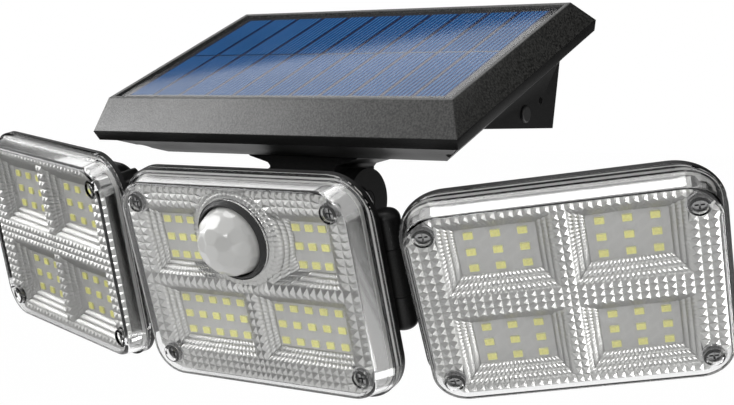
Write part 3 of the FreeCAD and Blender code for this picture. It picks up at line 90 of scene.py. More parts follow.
# Board seen beside and above the LEDs of a window, and how far its walls lean outwards
WINDOW_MARGINS = {"centre": (1.2, 1.2, 4.5), "side": (3.0, 1.6, 6.0)}
# Half width and half height of the back edge of a reflector's side band
BAND_BACK = {"centre": (56.0, 41.3), "side": (53.7, 41.3)}
LED_SIZE = (3.5, 0.7, 2.8)
BOARD_Y = 5.4


def kind_of(head):
    """The two side heads are alike."""
    return "centre" if head == "centre" else "side"


# ---------------------------------------------------------------- materials

class Value:
    """A shader socket that takes part in Python expressions."""

    def __init__(self, finish, socket):
        self.finish, self.socket = finish, socket

    def maths(self, operation, *terms):
        return self.finish.node("ShaderNodeMath", {"operation": operation}, *terms)

    def __add__(self, other):
        return self.maths("ADD", self, other)

    __radd__ = __add__

    def __sub__(self, other):
        return self.maths("SUBTRACT", self, other)

    def __rsub__(self, other):
        return self.maths("SUBTRACT", other, self)

    def __mul__(self, other):
        return self.maths("MULTIPLY", self, other)

    __rmul__ = __mul__

    def __truediv__(self, other):
        return self.maths("DIVIDE", self, other)

    def __lt__(self, other):
        return self.maths("LESS_THAN", self, other)

    def fraction(self):
        return self.maths("FRACT", self)

    def size(self):
        return self.maths("ABSOLUTE", self)

    def least(self, other):
        return self.maths("MINIMUM", self, other)

    def power(self, exponent):
        return self.maths("POWER", self, exponent)

    def eased(self, low, high):
        """0 below low, 1 above high, smooth between."""
        return self.finish.node("ShaderNodeMapRange", {"interpolation_type": "SMOOTHSTEP"},
                                self, low, high, 0.0, 1.0)


class Finish:
    """A material, or the world, whose nodes are written as expressions."""

    def __init__(self, name, world=False):
        self.material = (bpy.data.worlds if world else bpy.data.materials).new(name)
        self.material.use_nodes = True
        self.tree = self.material.node_tree
        self.tree.nodes.clear()
        kind = "ShaderNodeOutputWorld" if world else "ShaderNodeOutputMaterial"
        self.output = self.tree.nodes.new(kind)

    def node(self, kind, settings=None, *inputs, output=0, **named):
        """Any node: its settings are set first, then its sockets, by order or by name."""
        node = self.tree.nodes.new(kind)
        for key, setting in (settings or {}).items():
            setattr(node, key, setting)
        sockets = list(zip((s for s in node.inputs if s.enabled), inputs))
        sockets += [(node.inputs[key.replace("_", " ")], value) for key, value in named.items()]
        for socket, value in sockets:
            if isinstance(value, Value):
                self.tree.links.new(value.socket, socket)
            else:
                socket.default_value = value
        return Value(self, node.outputs[output])

    def ray(self, kind):
        """What Light Path says of a ray, such as 1 for Is Camera Ray."""
        return self.node("ShaderNodeLightPath", output=kind)

    def spots(self):
        """Object coordinates."""
        return self.node("ShaderNodeTexCoord", output=3)

    def noise(self, scale, detail=2.0, roughness=0.5):
        return self.node("ShaderNodeTexNoise", None, self.spots(), Scale=scale, Detail=detail,
                         Roughness=roughness)

    def blend(self, share, first, second):
        """Colour between two others."""
        return self.node("ShaderNodeMix", {"data_type": "RGBA"}, share, first, second, output=2)

    def bump(self, height, depth, strength):
        """Relief of a depth given in mm."""
        return self.node("ShaderNodeBump", None, Strength=strength, Distance=depth * MM,
                         Height=height)

    def shade(self, **named):
        """The usual shader, straight to the output."""
        return self.show(self.node("ShaderNodeBsdfPrincipled", None, **named))

    def show(self, shader):
        self.tree.links.new(shader.socket, self.output.inputs["Surface"])
        return self.material

    def mixed(self, share, first, second):
        """Two shaders by a share, to the output."""
        return self.show(self.node("ShaderNodeMixShader", None, share, first, second))


def rgba(colour, brighter=1.0):
    """A colour with its alpha, made brighter or darker by a factor."""
    return (*(min(1.0, brighter * part) for part in colour), 1.0)


def grey(level):
    return rgba((level, level, level))


def moulded_plastic(name, colour, roughness, grain=0.02, grain_scale=1900.0, flecks=0.25,
                    sheen=0.5):
    """Moulded plastic with a fine spark-eroded grain and a slightly uneven gloss."""
    finish = Finish(name)
    fine = finish.noise(grain_scale, 2.0, 0.6)
    broad = finish.noise(60.0, 3.0, 0.55)
    fleck = tuple(part * (1 + flecks) + 0.004 * flecks for part in colour)
    tone = finish.blend(fine.eased(0.35, 0.65), rgba(colour, 1 - flecks), rgba(fleck))
    return finish.shade(Base_Color=tone, Roughness=roughness - 0.05 + 0.1 * broad,
                        Normal=finish.bump(fine, grain, 0.6), IOR=1.5,
                        Specular_IOR_Level=sheen)


def metal(name, colour, roughness):
    """Turned or pressed metal with fine marks."""
    finish = Finish(name)
    marks = finish.noise(400.0, 3.0, 0.6)
    return finish.shade(Base_Color=finish.blend(marks, rgba(colour, 0.8), rgba(colour)),
                        Metallic=1.0, Roughness=roughness - 0.08 + 0.16 * marks,
                        Normal=finish.bump(marks, 0.01, 0.3))


def plated(name, colour, roughness):
    """Bright metal film on plastic: smooth, with faint flow marks."""
    finish = Finish(name)
    flow = finish.noise(35.0, 2.0, 0.5)
    return finish.shade(Base_Color=rgba(colour), Metallic=1.0,
                        Roughness=roughness - 0.04 + 0.08 * flow)


def clear(name, gloss, slant_gloss):
    """Thin clear plastic: what is behind shows, and its gloss grows at a slant."""
    finish = Finish(name)
    slant = finish.node("ShaderNodeLayerWeight", None, output=1, Blend=0.5)
    share = gloss + slant_gloss * slant.power(5.0)
    flow = finish.noise(18.0, 1.0, 0.5)
    shine = finish.node("ShaderNodeBsdfPrincipled", None, Base_Color=grey(0.95),
                        Metallic=1.0, Roughness=0.03 + 0.04 * flow)
    through = finish.node("ShaderNodeBsdfTransparent", None, Color=grey(1.0))
    return finish.mixed(share.least(1.0), through, shine)


def moulded_clear(name):
    """Clear moulding with real walls: it bends what is behind, and lets the lamps' light in."""
    finish = Finish(name)
    flow = finish.noise(18.0, 1.0, 0.5)
    solid = finish.node("ShaderNodeBsdfPrincipled", None, Base_Color=grey(1.0),
                        Roughness=0.01 + 0.02 * flow, IOR=1.49, Transmission_Weight=1.0)
    lit = finish.node("ShaderNodeBsdfTransparent", None, Color=grey(0.93))
    return finish.mixed(finish.ray("Is Shadow Ray"), solid, lit)


CELL_PITCH = 158.0 / 11
CELL_LINE_PITCH = 2.052


def solar_silicon(colours):
    """Blue cells, each with pale collector lines that run up the panel."""
    finish = Finish("solar_silicon")
    across = finish.node("ShaderNodeSeparateXYZ", None, finish.spots())
    in_cell = (across / (CELL_PITCH * MM) + 0.5).fraction() * (CELL_PITCH / CELL_LINE_PITCH)
    line = (in_cell.fraction() - 0.5).size().eased(0.22, 0.3)
    mottle = finish.noise(240.0, 3.0, 0.6)
    dark = finish.blend(mottle, rgba(colours.cell_deep), rgba(colours.cell_blue))
    tone = finish.blend(line, dark, rgba(colours.cell_line))
    return finish.shade(Base_Color=tone, Roughness=0.55 - 0.1 * line, Specular_IOR_Level=0.02)


def circuit(name, colour, roughness):
    """Solder mask over faint copper tracks."""
    finish = Finish(name)
    tracks = finish.node("ShaderNodeTexBrick", {"offset": 0.5}, finish.spots(), Scale=90.0,
                         Mortar_Size=0.04, Color1=rgba(colour), Color2=rgba(colour),
                         Mortar=rgba(colour, 1.05))
    uneven = finish.noise(120.0)
    return finish.shade(Base_Color=tracks, Roughness=roughness + 0.1 * uneven,
                        Normal=finish.bump(uneven, 0.01, 0.3))


def milky(name, colour):
    """Milky moulded lens of the sensor."""
    finish = Finish(name)
    cloud = finish.noise(90.0, 2.0, 0.5)
    return finish.shade(Base_Color=finish.blend(cloud, rgba(colour, 0.94), rgba(colour)),
                        Roughness=0.3 + 0.1 * cloud, IOR=1.5, Coat_Weight=1.0,
                        Coat_Roughness=0.08)


MATERIALS = {}


def make_materials(settings):
    """All finishes, made once from the user's colours."""
    plastics, lamp, panel = settings.plastics, settings.lamp, settings.panel
    MATERIALS.update(
        frame_plastic=moulded_plastic("housing_top_grain", plastics.housing, 0.36, grain=0.16,
                                      grain_scale=1300.0, flecks=0.8, sheen=0.56),
        black_plastic=moulded_plastic("black_grain", plastics.black, 0.45, grain=0.03,
                                      sheen=0.16),
        head_plastic=moulded_plastic("lamp_back_grain", plastics.black, 0.38, grain=0.015,
                                     sheen=0.2),
        button_plastic=moulded_plastic("soft_button", plastics.black, 0.55),
        ring_plastic=moulded_plastic("sensor_ring_matte", plastics.ring, 0.4, sheen=0.3),
        holder_plastic=moulded_plastic("holder_black", (0.05, 0.05, 0.05), 0.5),
        lamp_seal=moulded_plastic("lamp_seal_silicone", (0.55, 0.55, 0.54), 0.5, grain=0.01,
                                  flecks=0.05),
        seal_rubber=moulded_plastic("seal_rubber_dark", (0.03, 0.03, 0.03), 0.65),
        steel=metal("zinc_steel", (0.62, 0.62, 0.63), 0.3),
        screw_steel=metal("screw_steel", (0.3, 0.3, 0.3), 0.25),
        black_steel=metal("blackened_steel", (0.06, 0.06, 0.06), 0.35),
        brass=metal("turned_brass", (0.75, 0.58, 0.28), 0.3),
        facets=plated("mirror_facets", lamp.mirror, 0.3),
        band=plated("mirror_band", lamp.mirror_band, 0.2),
        cover=moulded_clear("clear_cover"),
        glaze=clear("panel_glaze_clear", 0.02, 0.38),
        light_pipe=clear("light_pipe_clear", 0.34, 0.86),
        silicon=solar_silicon(panel),
        panel_board=moulded_plastic("panel_backing_dark", panel.gap, 0.6, grain=0.01,
                                    sheen=0.1),
        led_board=circuit("lamp_board_grey", lamp.board, 0.5),
        control_board=circuit("control_board_green", (0.03, 0.16, 0.06), 0.4),
        phosphor=moulded_plastic("led_phosphor", lamp.phosphor, 0.45, grain=0.01,
                                 grain_scale=1500.0, flecks=0.08),
        led_case=moulded_plastic("led_case_white", lamp.led_case, 0.4, grain=0.01,
                                 grain_scale=1500.0, flecks=0.05),
        battery=metal("battery_sleeve", (0.1, 0.3, 0.6), 0.4),
        dome=milky("sensor_milky", settings.sensor.milk),
        element=metal("sensor_can", (0.6, 0.6, 0.6), 0.25),
    )


def coat(finish, *nodes):
    """Give CAD nodes a finish in each of their material slots."""
    for node in nodes:
        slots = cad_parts[node].material_slots
        if not slots:
            raise RuntimeError(f"{node} has no material slot")
        for slot in slots:
            slot.material = MATERIALS[finish]


# ---------------------------------------------------------------- mesh helpers

def finished(name, bm, place, body, finishes, node, smooth_angle=None):
    """Put a bmesh in its place as a piece that rides on a body and stands for a CAD node."""
    bmesh.ops.transform(bm, matrix=place, verts=bm.verts)
    mesh = bpy.data.meshes.new(name)
    bm.to_mesh(mesh)
    bm.free()
    for finish in finishes:
        mesh.materials.append(MATERIALS[finish])
    if smooth_angle:
        mesh.shade_smooth()
        mesh.set_sharp_from_angle(angle=math.radians(smooth_angle))
    piece = bpy.data.objects.new(name, mesh)
    bpy.context.scene.collection.objects.link(piece)
    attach(piece, body)
    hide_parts(node)
    return piece


MERGE_DISTANCE = 0.002
FLAT_ANGLE = 0.5
HARD_ANGLE = 24
SMOOTH_ANGLE = 30
SHORTEST_SOFTENED = 3.0


def softened(node, name, body, finish, width):
    """A CAD node's shape with its long hard edges rounded, as a mould leaves them."""
    bm = bmesh.new()
    bm.from_mesh(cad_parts[node].data)
    for face in bm.faces:
        face.material_index = 0
    bmesh.ops.remove_doubles(bm, verts=bm.verts, dist=MERGE_DISTANCE * MM)
    bmesh.ops.dissolve_limit(bm, angle_limit=math.radians(FLAT_ANGLE), verts=bm.verts,
                             edges=bm.edges)
    hard = [edge for edge in bm.edges
            if edge.is_manifold and edge.calc_length() > SHORTEST_SOFTENED * MM
            and edge.calc_face_angle() > math.radians(HARD_ANGLE)]
    bmesh.ops.bevel(bm, geom=hard, offset=width, offset_type="OFFSET", segments=2,
                    profile=0.5, affect="EDGES", clamp_overlap=True, material=-1)
    piece = finished(name, bm, Matrix(), body, [finish], node, SMOOTH_ANGLE)
    normals = piece.data.attributes.get("custom_normal")
    if normals:
        piece.data.attributes.remove(normals)


def thickened(piece, thickness):
    """Give an open shell its wall, on the side behind its faces."""
    wall = piece.modifiers.new("wall", "SOLIDIFY")
    wall.thickness = thickness * MM
    wall.offset = -1.0


def faced_forward(bm):
    """Turn the faces that look backwards."""
    bm.normal_update()
    bmesh.ops.reverse_faces(bm, faces=[face for face in bm.faces if face.normal.y > 0])
    bm.normal_update()


def in_metres(bm):
    bmesh.ops.scale(bm, vec=(MM, MM, MM), verts=bm.verts)
    return bm


# ---------------------------------------------------------------- lamp heads

FACE_X, FACE_Z = 53.5, 40.3
FACE_CORNER = 11.0
CORNER_CUTS = 6
FACE_Y = 0.3
MIRROR_WALL = 0.4
SCREW_AT = (47.5, 33.4)
PILLAR_OUT, PILLAR_IN = 4.8, 4.1
PILLAR_DRAFT_OUT, PILLAR_DRAFT_IN = 0.15, 0.1
PILLAR_SIDES = 24
COLLAR_OUT, COLLAR_IN, COLLAR_RISE = 20.4, 16.5, 1.3
COLLAR_SIDES = 54
COLLAR_AT_BOARD = 24.4
RING_REACH = 5.3
HOLE_PULL = 1.8
NEAR = 0.1
GRID, BAND, COLLAR, WALL = range(4)


def is_ringed(head, window):
    """Whether a window bends round the sensor's ring."""
    return head == "centre" and window[1] > 0


def window_edges(head, window):
    """Front and board outlines of a window, each as low x, high x, low z, high z."""
    x, z, across, up, pitch_x, pitch_z = window
    margin_x, margin_z, lean = WINDOW_MARGINS[kind_of(head)]
    half_x = (across - 1) * pitch_x / 2 + LED_SIZE[0] / 2 + margin_x
    half_z = (up - 1) * pitch_z / 2 + LED_SIZE[2] / 2 + margin_z
    board = [x - half_x, x + half_x, z - half_z, z + half_z]
    front = [board[0] - lean, board[1] + lean, board[2] - lean, board[3] + lean]
    if is_ringed(head, window):
        front[0 if x > 0 else 1] -= math.copysign(RING_REACH, x)
    return front, board


def spaced(stops, pitch):
    """Lines through every stop, with others between them about a pitch apart."""
    lines = [stops[0]]
    for start, end in zip(stops, stops[1:]):
        count = max(1, round((end - start) / pitch))
        lines += [start + (end - start) * step / count for step in range(1, count + 1)]
    return lines


def distance(point, centre):
    return math.hypot(point.x - centre[0], point.z - centre[1])


def cleared(bm, kind, is_gone):
    """Take out the faces of a kind whose middle passes a test."""
    bmesh.ops.delete(bm, context="FACES", geom=[
        face for face in bm.faces
        if face.material_index == kind and is_gone(face.calc_center_median())])


def patch(bm, across, up, place, kind):
    """A grid of faces whose points are placed by two shares, each from 0 to 1."""
    verts = bmesh.ops.create_grid(bm, x_segments=across, y_segments=up, size=1)["verts"]
    for vert in verts:
        vert.co = place((vert.co.x + 1) / 2, (vert.co.y + 1) / 2)
    for face in {face for vert in verts for face in vert.link_faces}:
        face.material_index = kind


def tube(bm, centre, ends, count, kind, rows=1, top=math.inf):
    """A round wall between two rings, each given as radius and y."""
    def place(share, row):
        angle = math.tau * share
        (start, start_y), (end, end_y) = ends
        radius = start + (end - start) * row
        return Vector((centre[0] + radius * math.cos(angle), start_y + (end_y - start_y) * row,
                       min(top, centre[1] + radius * math.sin(angle))))
    patch(bm, count, rows, place, kind)


def opened(bm, centre, radius):
    """Open a round hole in the grid: near points move to its edge, faces inside go."""
    for vert in bm.verts:
        away = distance(vert.co, centre)
        on_rim = abs(vert.co.x) > FACE_X - NEAR or abs(vert.co.z) > FACE_Z - NEAR
        if 0.6 * radius < away and abs(away - radius) < HOLE_PULL and not on_rim:
            vert.co.x = centre[0] + (vert.co.x - centre[0]) * radius / away
            vert.co.z = centre[1] + (vert.co.z - centre[1]) * radius / away
    cleared(bm, GRID, lambda middle: distance(middle, centre) < radius - 3 * NEAR)


def wall_curve(outline, side, ring, y):
    """One side of a window's outline as a function; it bends round the sensor's ring."""
    low_x, high_x, low_z, high_z = outline
    corners = [(low_x, low_z), (high_x, low_z), (high_x, high_z), (low_x, high_z)]
    (x0, z0), (x1, z1) = corners[side], corners[(side + 1) % 4]
    inner = min(abs(low_x), abs(high_x))

    def bent(x, z):
        if ring and abs(abs(x) - inner) < NEAR:
            x = math.copysign(max(inner, math.sqrt(max(0.0, ring ** 2 - (z - SENSOR_Z) ** 2))), x)
        return x, z
    if side in (0, 2):
        (x0, z0), (x1, z1) = bent(x0, z0), bent(x1, z1)

    def at(share):
        x, z = bent(x0 + (x1 - x0) * share, z0 + (z1 - z0) * share)
        return Vector((x, y, z))
    return at, math.hypot(x1 - x0, z1 - z0)


def window_walls(bm, head, window, shapes):
    """The four ribbed walls that slope from the reflector's face to the board."""
    front, board = window_edges(head, window)
    ringed = is_ringed(head, window)
    for side in range(4):
        start, length = wall_curve(front, side, COLLAR_OUT if ringed else None, FACE_Y)
        end, _ = wall_curve(board, side, COLLAR_AT_BOARD if ringed else None, BOARD_Y)
        patch(bm, max(2, round(length * MM / shapes.rib_pitch)), shapes.wall_rows,
              lambda share, row: start(share).lerp(end(share), row), WALL)


def face_grid(bm, fronts, shapes):
    """The reflector's face as a grid of pyramids' squares, with lines on every window's edge."""
    def lines(half, edges, pitch):
        stops = sorted({-half, half} | {round(edge, 3) for front in fronts
                                        for edge in front[edges]})
        return spaced(stops, pitch / MM)
    lines_x = lines(FACE_X, slice(0, 2), shapes.pitch_across)
    lines_z = lines(FACE_Z, slice(2, 4), shapes.pitch_up)
    last_x, last_z = len(lines_x) - 1, len(lines_z) - 1
    patch(bm, last_x, last_z,
          lambda u, v: Vector((lines_x[round(u * last_x)], FACE_Y, lines_z[round(v * last_z)])),
          GRID)


def corners_rounded(bm):
    """Cut the face's four corners round."""
    for side in (-1, 1):
        for up in (-1, 1):
            middle = Vector((side * (FACE_X - FACE_CORNER), FACE_Y, up * (FACE_Z - FACE_CORNER)))
            for step in range(CORNER_CUTS):
                angle = math.radians(90 / CORNER_CUTS * (step + 0.5))
                way = Vector((side * math.cos(angle), 0, up * math.sin(angle)))
                bmesh.ops.bisect_plane(bm, geom=bm.verts[:] + bm.edges[:] + bm.faces[:],
                                       plane_co=middle + way * FACE_CORNER, plane_no=way,
                                       clear_outer=True)


def side_band(bm, head):
    """The smooth band that runs back from the face's rim."""
    back_x, back_z = BAND_BACK[kind_of(head)]
    rim = [edge for edge in bm.edges if edge.is_boundary]
    for item in bmesh.ops.extrude_edge_only(bm, edges=rim)["geom"]:
        if isinstance(item, bmesh.types.BMVert):
            item.co = (item.co.x * back_x / FACE_X, BOARD_Y, item.co.z * back_z / FACE_Z)
        elif isinstance(item, bmesh.types.BMFace):
            item.material_index = BAND


def reflector_mesh(head, shapes):
    """A reflector: pyramids on its face, ribbed window walls and a smooth side band."""
    windows = WINDOWS[kind_of(head)]
    fronts = [window_edges(head, window)[0] for window in windows]
    screws = [(side * SCREW_AT[0], up * SCREW_AT[1]) for side in (-1, 1) for up in (-1, 1)]
    bm = bmesh.new()
    face_grid(bm, fronts, shapes)
    corners_rounded(bm)
    side_band(bm, head)
    cleared(bm, GRID, lambda middle: any(
        low_x < middle.x < high_x and low_z < middle.z < high_z
        for low_x, high_x, low_z, high_z in fronts))
    if head == "centre":
        opened(bm, (0, SENSOR_Z), COLLAR_OUT)
    for screw in screws:
        opened(bm, screw, PILLAR_OUT)
    for window in windows:
        window_walls(bm, head, window, shapes)
    cleared(bm, WALL, lambda middle: any(distance(middle, screw) < PILLAR_OUT
                                         for screw in screws))
    if head == "centre":
        tube(bm, (0, SENSOR_Z), ((COLLAR_IN, FACE_Y - COLLAR_RISE), (COLLAR_OUT, FACE_Y)),
             COLLAR_SIDES, COLLAR, 2, FACE_Z)
    for face in bm.faces:
        face.smooth = face.material_index in (WALL, COLLAR)
        if face.smooth:
            for edge in face.edges:
                edge.smooth = False
    faced_forward(bm)
    for kind, height in ((GRID, shapes.pyramid), (COLLAR, shapes.rib), (WALL, shapes.rib)):
        bmesh.ops.poke(bm, faces=[face for face in bm.faces if face.material_index == kind],
                       offset=height, use_relative_offset=True)
    for screw in screws:
        for inner, outer in (((PILLAR_IN, FACE_Y), (PILLAR_OUT, FACE_Y)),
                             ((PILLAR_OUT, FACE_Y), (PILLAR_OUT + PILLAR_DRAFT_OUT, BOARD_Y)),
                             ((PILLAR_IN, FACE_Y), (PILLAR_IN - PILLAR_DRAFT_IN, BOARD_Y))):
            tube(bm, screw, (inner, outer), PILLAR_SIDES, BAND)
    faced_forward(bm)
    for face in bm.faces:
        face.material_index = 1 if face.material_index == BAND else 0
    return in_metres(bm)


PAD_SUNK = 0.08
LED_CORNER = 0.2
ALONG = 0.9


def led_mesh(head, shapes):
    """Every LED of a head: a small case with a phosphor pad sunk in its front."""
    bm = bmesh.new()
    for x, z, across, up, pitch_x, pitch_z in WINDOWS[kind_of(head)]:
        for column in range(across):
            for row in range(up):
                at = Vector((x + (column - (across - 1) / 2) * pitch_x,
                             BOARD_Y - LED_SIZE[1] / 2, z + (row - (up - 1) / 2) * pitch_z))
                verts = bmesh.ops.create_cube(bm, size=1)["verts"]
                bmesh.ops.scale(bm, vec=LED_SIZE, verts=verts)
                bmesh.ops.translate(bm, vec=at, verts=verts)
    bm.normal_update()
    pads = [face for face in bm.faces if face.normal.y < -ALONG]
    bmesh.ops.inset_individual(bm, faces=pads, thickness=shapes.led_border / MM,
                               depth=-PAD_SUNK)
    for face in pads:
        face.material_index = 1
    upright = [edge for edge in bm.edges
               if abs((edge.verts[0].co - edge.verts[1].co).normalized().y) > ALONG
               and edge.calc_length() > 0.8 * LED_SIZE[1]]
    bmesh.ops.bevel(bm, geom=upright, offset=LED_CORNER, offset_type="OFFSET", segments=1,
                    profile=0.5, affect="EDGES", material=-1)
    return in_metres(bm)


DOME_RADIUS = 14.3
DOME_WALL = 0.9
DOME_BASE = -1.5
DOME_SMOOTH_ANGLE = 60
# Facets in each ring round the front one, the degrees from ring to ring, how sharply facets
# meet, and how near to the ball's middle their planes lie, as a share of its radius
LENS_RINGS = (6, 12, 18, 22)
LENS_STEP = 25.0
LENS_SHARPNESS = 400.0
LENS_PLANE = 0.976


def lens_centres():
    """Directions of the lens's facets: rings of them round the one in front."""
    centres = [Vector((0, -1, 0))]
    for ring, count in enumerate(LENS_RINGS, 1):
        polar = math.radians(LENS_STEP * ring)
        for step in range(count):
            angle = math.tau * (step + 0.5 * (ring % 2)) / count
            centres.append(Vector((math.sin(polar) * math.cos(angle), -math.cos(polar),
                                   math.sin(polar) * math.sin(angle))))
    return centres


def dome_mesh(shapes):
    """The sensor's lens: a half ball of wide soft facets."""
    bm = bmesh.new()
    bmesh.ops.create_icosphere(bm, subdivisions=6, radius=1.0)
    bmesh.ops.bisect_plane(bm, geom=bm.verts[:] + bm.edges[:] + bm.faces[:],
                           plane_co=(0, 0, 0), plane_no=(0, 1, 0), clear_outer=True)
    centres = lens_centres()
    for vert in bm.verts:
        way = vert.co.normalized()
        nearness = sum(math.exp(LENS_SHARPNESS * (way.dot(centre) - 1)) for centre in centres)
        flat = LENS_PLANE / (1 + math.log(nearness) / LENS_SHARPNESS)
        vert.co = way * DOME_RADIUS * min(1.0, 1 + shapes.facet * (flat - 1))
    bmesh.ops.translate(bm, vec=(0, DOME_BASE, SENSOR_Z), verts=bm.verts)
    bmesh.ops.recalc_face_normals(bm, faces=bm.faces)
    if sum(face.normal.y for face in bm.faces) > 0:
        bmesh.ops.reverse_faces(bm, faces=bm.faces)
    return in_metres(bm)


# ---------------------------------------------------------------- stage

FLOOR_Z = -1.0
FLOOR_SIZE = (60, 60)
FLOOR_GLOW = 1.12
CARD_GREY = 0.02
AIM = (0, -0.1, -0.03)
CAMERA_AT = (0.3572, -0.5468, -0.006)
CAMERA_ANGLES = (34.97, 3.77, 0.56)
SENSOR_WIDTH = 36.0
FOCAL_PIXELS, PHOTO_PIXELS = 1450.0, 734.0
# The camera's mirror image in the panel, the way it looks, the way across the line where
# the panel's reflection changes from dark to pale, and how far off the mirrored things are
MIRRORED_CAMERA = Vector((0.3572, -0.402, -0.330))
MIRRORED_AHEAD = Vector((-0.585, 0.567, 0.573))
ACROSS_EDGE = Vector((-0.116, 0.644, -0.756)).normalized()
MIRRORED_AWAY = 1.9


def turned_to(right, up, back, at):
    """Place from its three directions and its middle."""
    turn = Matrix((right, up, back)).transposed().to_4x4()
    return Matrix.Translation(at) @ turn


def in_panel(past_edge):
    """A place that the panel mirrors, some way past the edge of its pale reflection."""
    ahead = (MIRRORED_AHEAD - ACROSS_EDGE * MIRRORED_AHEAD.dot(ACROSS_EDGE)).normalized()
    at = MIRRORED_CAMERA + ahead * MIRRORED_AWAY + ACROSS_EDGE * past_edge
    return turned_to((-ACROSS_EDGE).cross(ahead), -ACROSS_EDGE, ahead, at)


def facing(at, target=AIM, above=(0, 0, 1)):
    """Place for a lamp or card that looks at a point, with its long sides level."""
    back = (Vector(at) - Vector(target)).normalized()
    right = Vector(above).cross(back).normalized()
    return turned_to(right, back.cross(right), back, at)


def camera_place(azimuth, elevation, roll):
    """Camera that looks at the light from its right front."""
    az, el, ro = (math.radians(angle) for angle in (azimuth, elevation, roll))
    ahead = Vector((-math.sin(az) * math.cos(el), math.cos(az) * math.cos(el), -math.sin(el)))
    level = Vector((math.cos(az), math.sin(az), 0))
    above = level.cross(ahead)
    right = level * math.cos(ro) + above * math.sin(ro)
    return turned_to(right, above * math.cos(ro) - level * math.sin(ro), -ahead, CAMERA_AT)


# Each lamp: the setting that holds its brightness, its place and its size
LAMPS = (
    ("key", facing((-0.68, -0.55, 0.42)), (0.5, 0.4)),
    ("near", facing((0.3, -1.25, 0.26)), (0.3, 0.3)),
    ("side", facing((0.75, 0.35, -0.55)), (0.34, 0.34)),
    ("left", facing((-1.35, -0.45, 0.3)), (0.8, 0.4)),
    ("top", facing((-0.11, -0.14, 1.14), above=(0, 1, 0)), (0.6, 0.45)),
    ("fill", facing((0.78, -0.86, -0.46)), (0.6, 0.5)),
    ("back", in_panel(-0.2), (0.9, 0.4)),
    ("rear", facing((-0.7, 1.3, 0.35)), (1.0, 0.8)),
)
CARDS = (
    ("panel_card", in_panel(0.55), (2.6, 1.1)),
    ("front_card", facing((-0.25, -1.6, -0.05), (-0.25, 0, -0.05)), (3.2, 1.0)),
    ("side_card", facing((0.55, 0.85, 0.33)), (1.8, 1.4)),
    ("left_card", facing((-1.5, -0.21, -0.5)), (0.5, 0.45)),
)


def softbox(name, place, size, brightness):
    """A soft rectangular lamp; its brightness is 1 where its face looks plain white."""
    data = bpy.data.lights.new(name, "AREA")
    data.shape = "RECTANGLE"
    data.size, data.size_y = size
    data.energy = brightness * math.pi * size[0] * size[1]
    lamp = bpy.data.objects.new(name, data)
    lamp.matrix_world = place
    lamp.visible_camera = False
    bpy.context.scene.collection.objects.link(lamp)


def stage_plane(name, place, size, material):
    """A flat part of the stage."""
    bm = bmesh.new()
    bmesh.ops.create_grid(bm, x_segments=1, y_segments=1, size=0.5)
    bmesh.ops.scale(bm, vec=(*size, 1), verts=bm.verts)
    bmesh.ops.transform(bm, matrix=place, verts=bm.verts)
    mesh = bpy.data.meshes.new(name)
    bm.to_mesh(mesh)
    bm.free()
    mesh.materials.append(material)
    plane = bpy.data.objects.new(name, mesh)
    bpy.context.scene.collection.objects.link(plane)
    return plane


def pale(finish):
    """1 for the rays that show the background: seen, mirrored or through glass."""
    seen = finish.ray("Is Camera Ray") + finish.ray("Is Glossy Ray")
    seen = (seen + finish.ray("Is Transmission Ray")).least(1.0)
    return seen * (finish.ray("Diffuse Depth") < 0.5)


def make_floor(stage):
    """Pale floor that looks white but for the light's shadow."""
    finish = Finish("pale_floor")
    lit = finish.node("ShaderNodeBsdfDiffuse", None, Color=rgba(stage.floor))
    white = finish.node("ShaderNodeEmission", None, Color=grey(1.0), Strength=FLOOR_GLOW)
    finish.mixed(pale(finish) * stage.whiteness, lit, white)
    stage_plane("floor", Matrix.Translation((0, 0, FLOOR_Z)), FLOOR_SIZE, finish.material)


def make_card(name, place, size):
    """A dark card that only shows in what mirrors it, for contrast in clear and plated parts."""
    finish = Finish(name)
    finish.show(finish.node("ShaderNodeBsdfDiffuse", None, Color=grey(CARD_GREY)))
    card = stage_plane(name, place, size, finish.material)
    card.visible_camera = card.visible_diffuse = card.visible_shadow = False


def make_world(stage):
    """Even light from all round, and white where it is seen or mirrored."""
    finish = Finish("studio", world=True)
    white = pale(finish)
    finish.show(finish.node("ShaderNodeBackground", None, Color=grey(1.0),
                            Strength=white + (1 - white) * stage.ambient))
    bpy.context.scene.world = finish.material


def make_camera():
    data = bpy.data.cameras.new("camera")
    data.sensor_fit = "HORIZONTAL"
    data.sensor_width = SENSOR_WIDTH
    data.lens = SENSOR_WIDTH * FOCAL_PIXELS / PHOTO_PIXELS
    data.clip_start = 0.01
    camera = bpy.data.objects.new("camera", data)
    camera.matrix_world = camera_place(*CAMERA_ANGLES)
    bpy.context.scene.collection.objects.link(camera)
    bpy.context.scene.camera = camera


# ---------------------------------------------------------------- what a user can change

def colour_choice(name, description, default):
    return FloatVectorProperty(name=name, description=description, default=default, min=0.0,
                               max=1.0, size=3, subtype="COLOR")


def length_choice(name, description, default, least, most):
    return FloatProperty(name=name, description=description, default=default, min=least,
                         max=most, unit="LENGTH")


def share_choice(name, description, default):
    return FloatProperty(name=name, description=description, default=default, min=0.0,
                         max=1.0, subtype="FACTOR")


def brightness_choice(name, description, default):
    return FloatProperty(name=name, description=description, default=default, min=0.0,
                         max=50.0)


class PlasticSettings(bpy.types.PropertyGroup):
    housing: colour_choice("Housing", "Upper half of the panel housing", (0.026, 0.026, 0.0245))
    black: colour_choice("Black", "Lower shell, neck, arms and lamp backs", (0.01, 0.01, 0.01))
    ring: colour_choice("Sensor ring", "Ring round the sensor's lens", (0.022, 0.022, 0.022))
    edge: length_choice("Edge radius", "Rounding of the moulded hard edges", 0.0004, 0.0, 0.001)


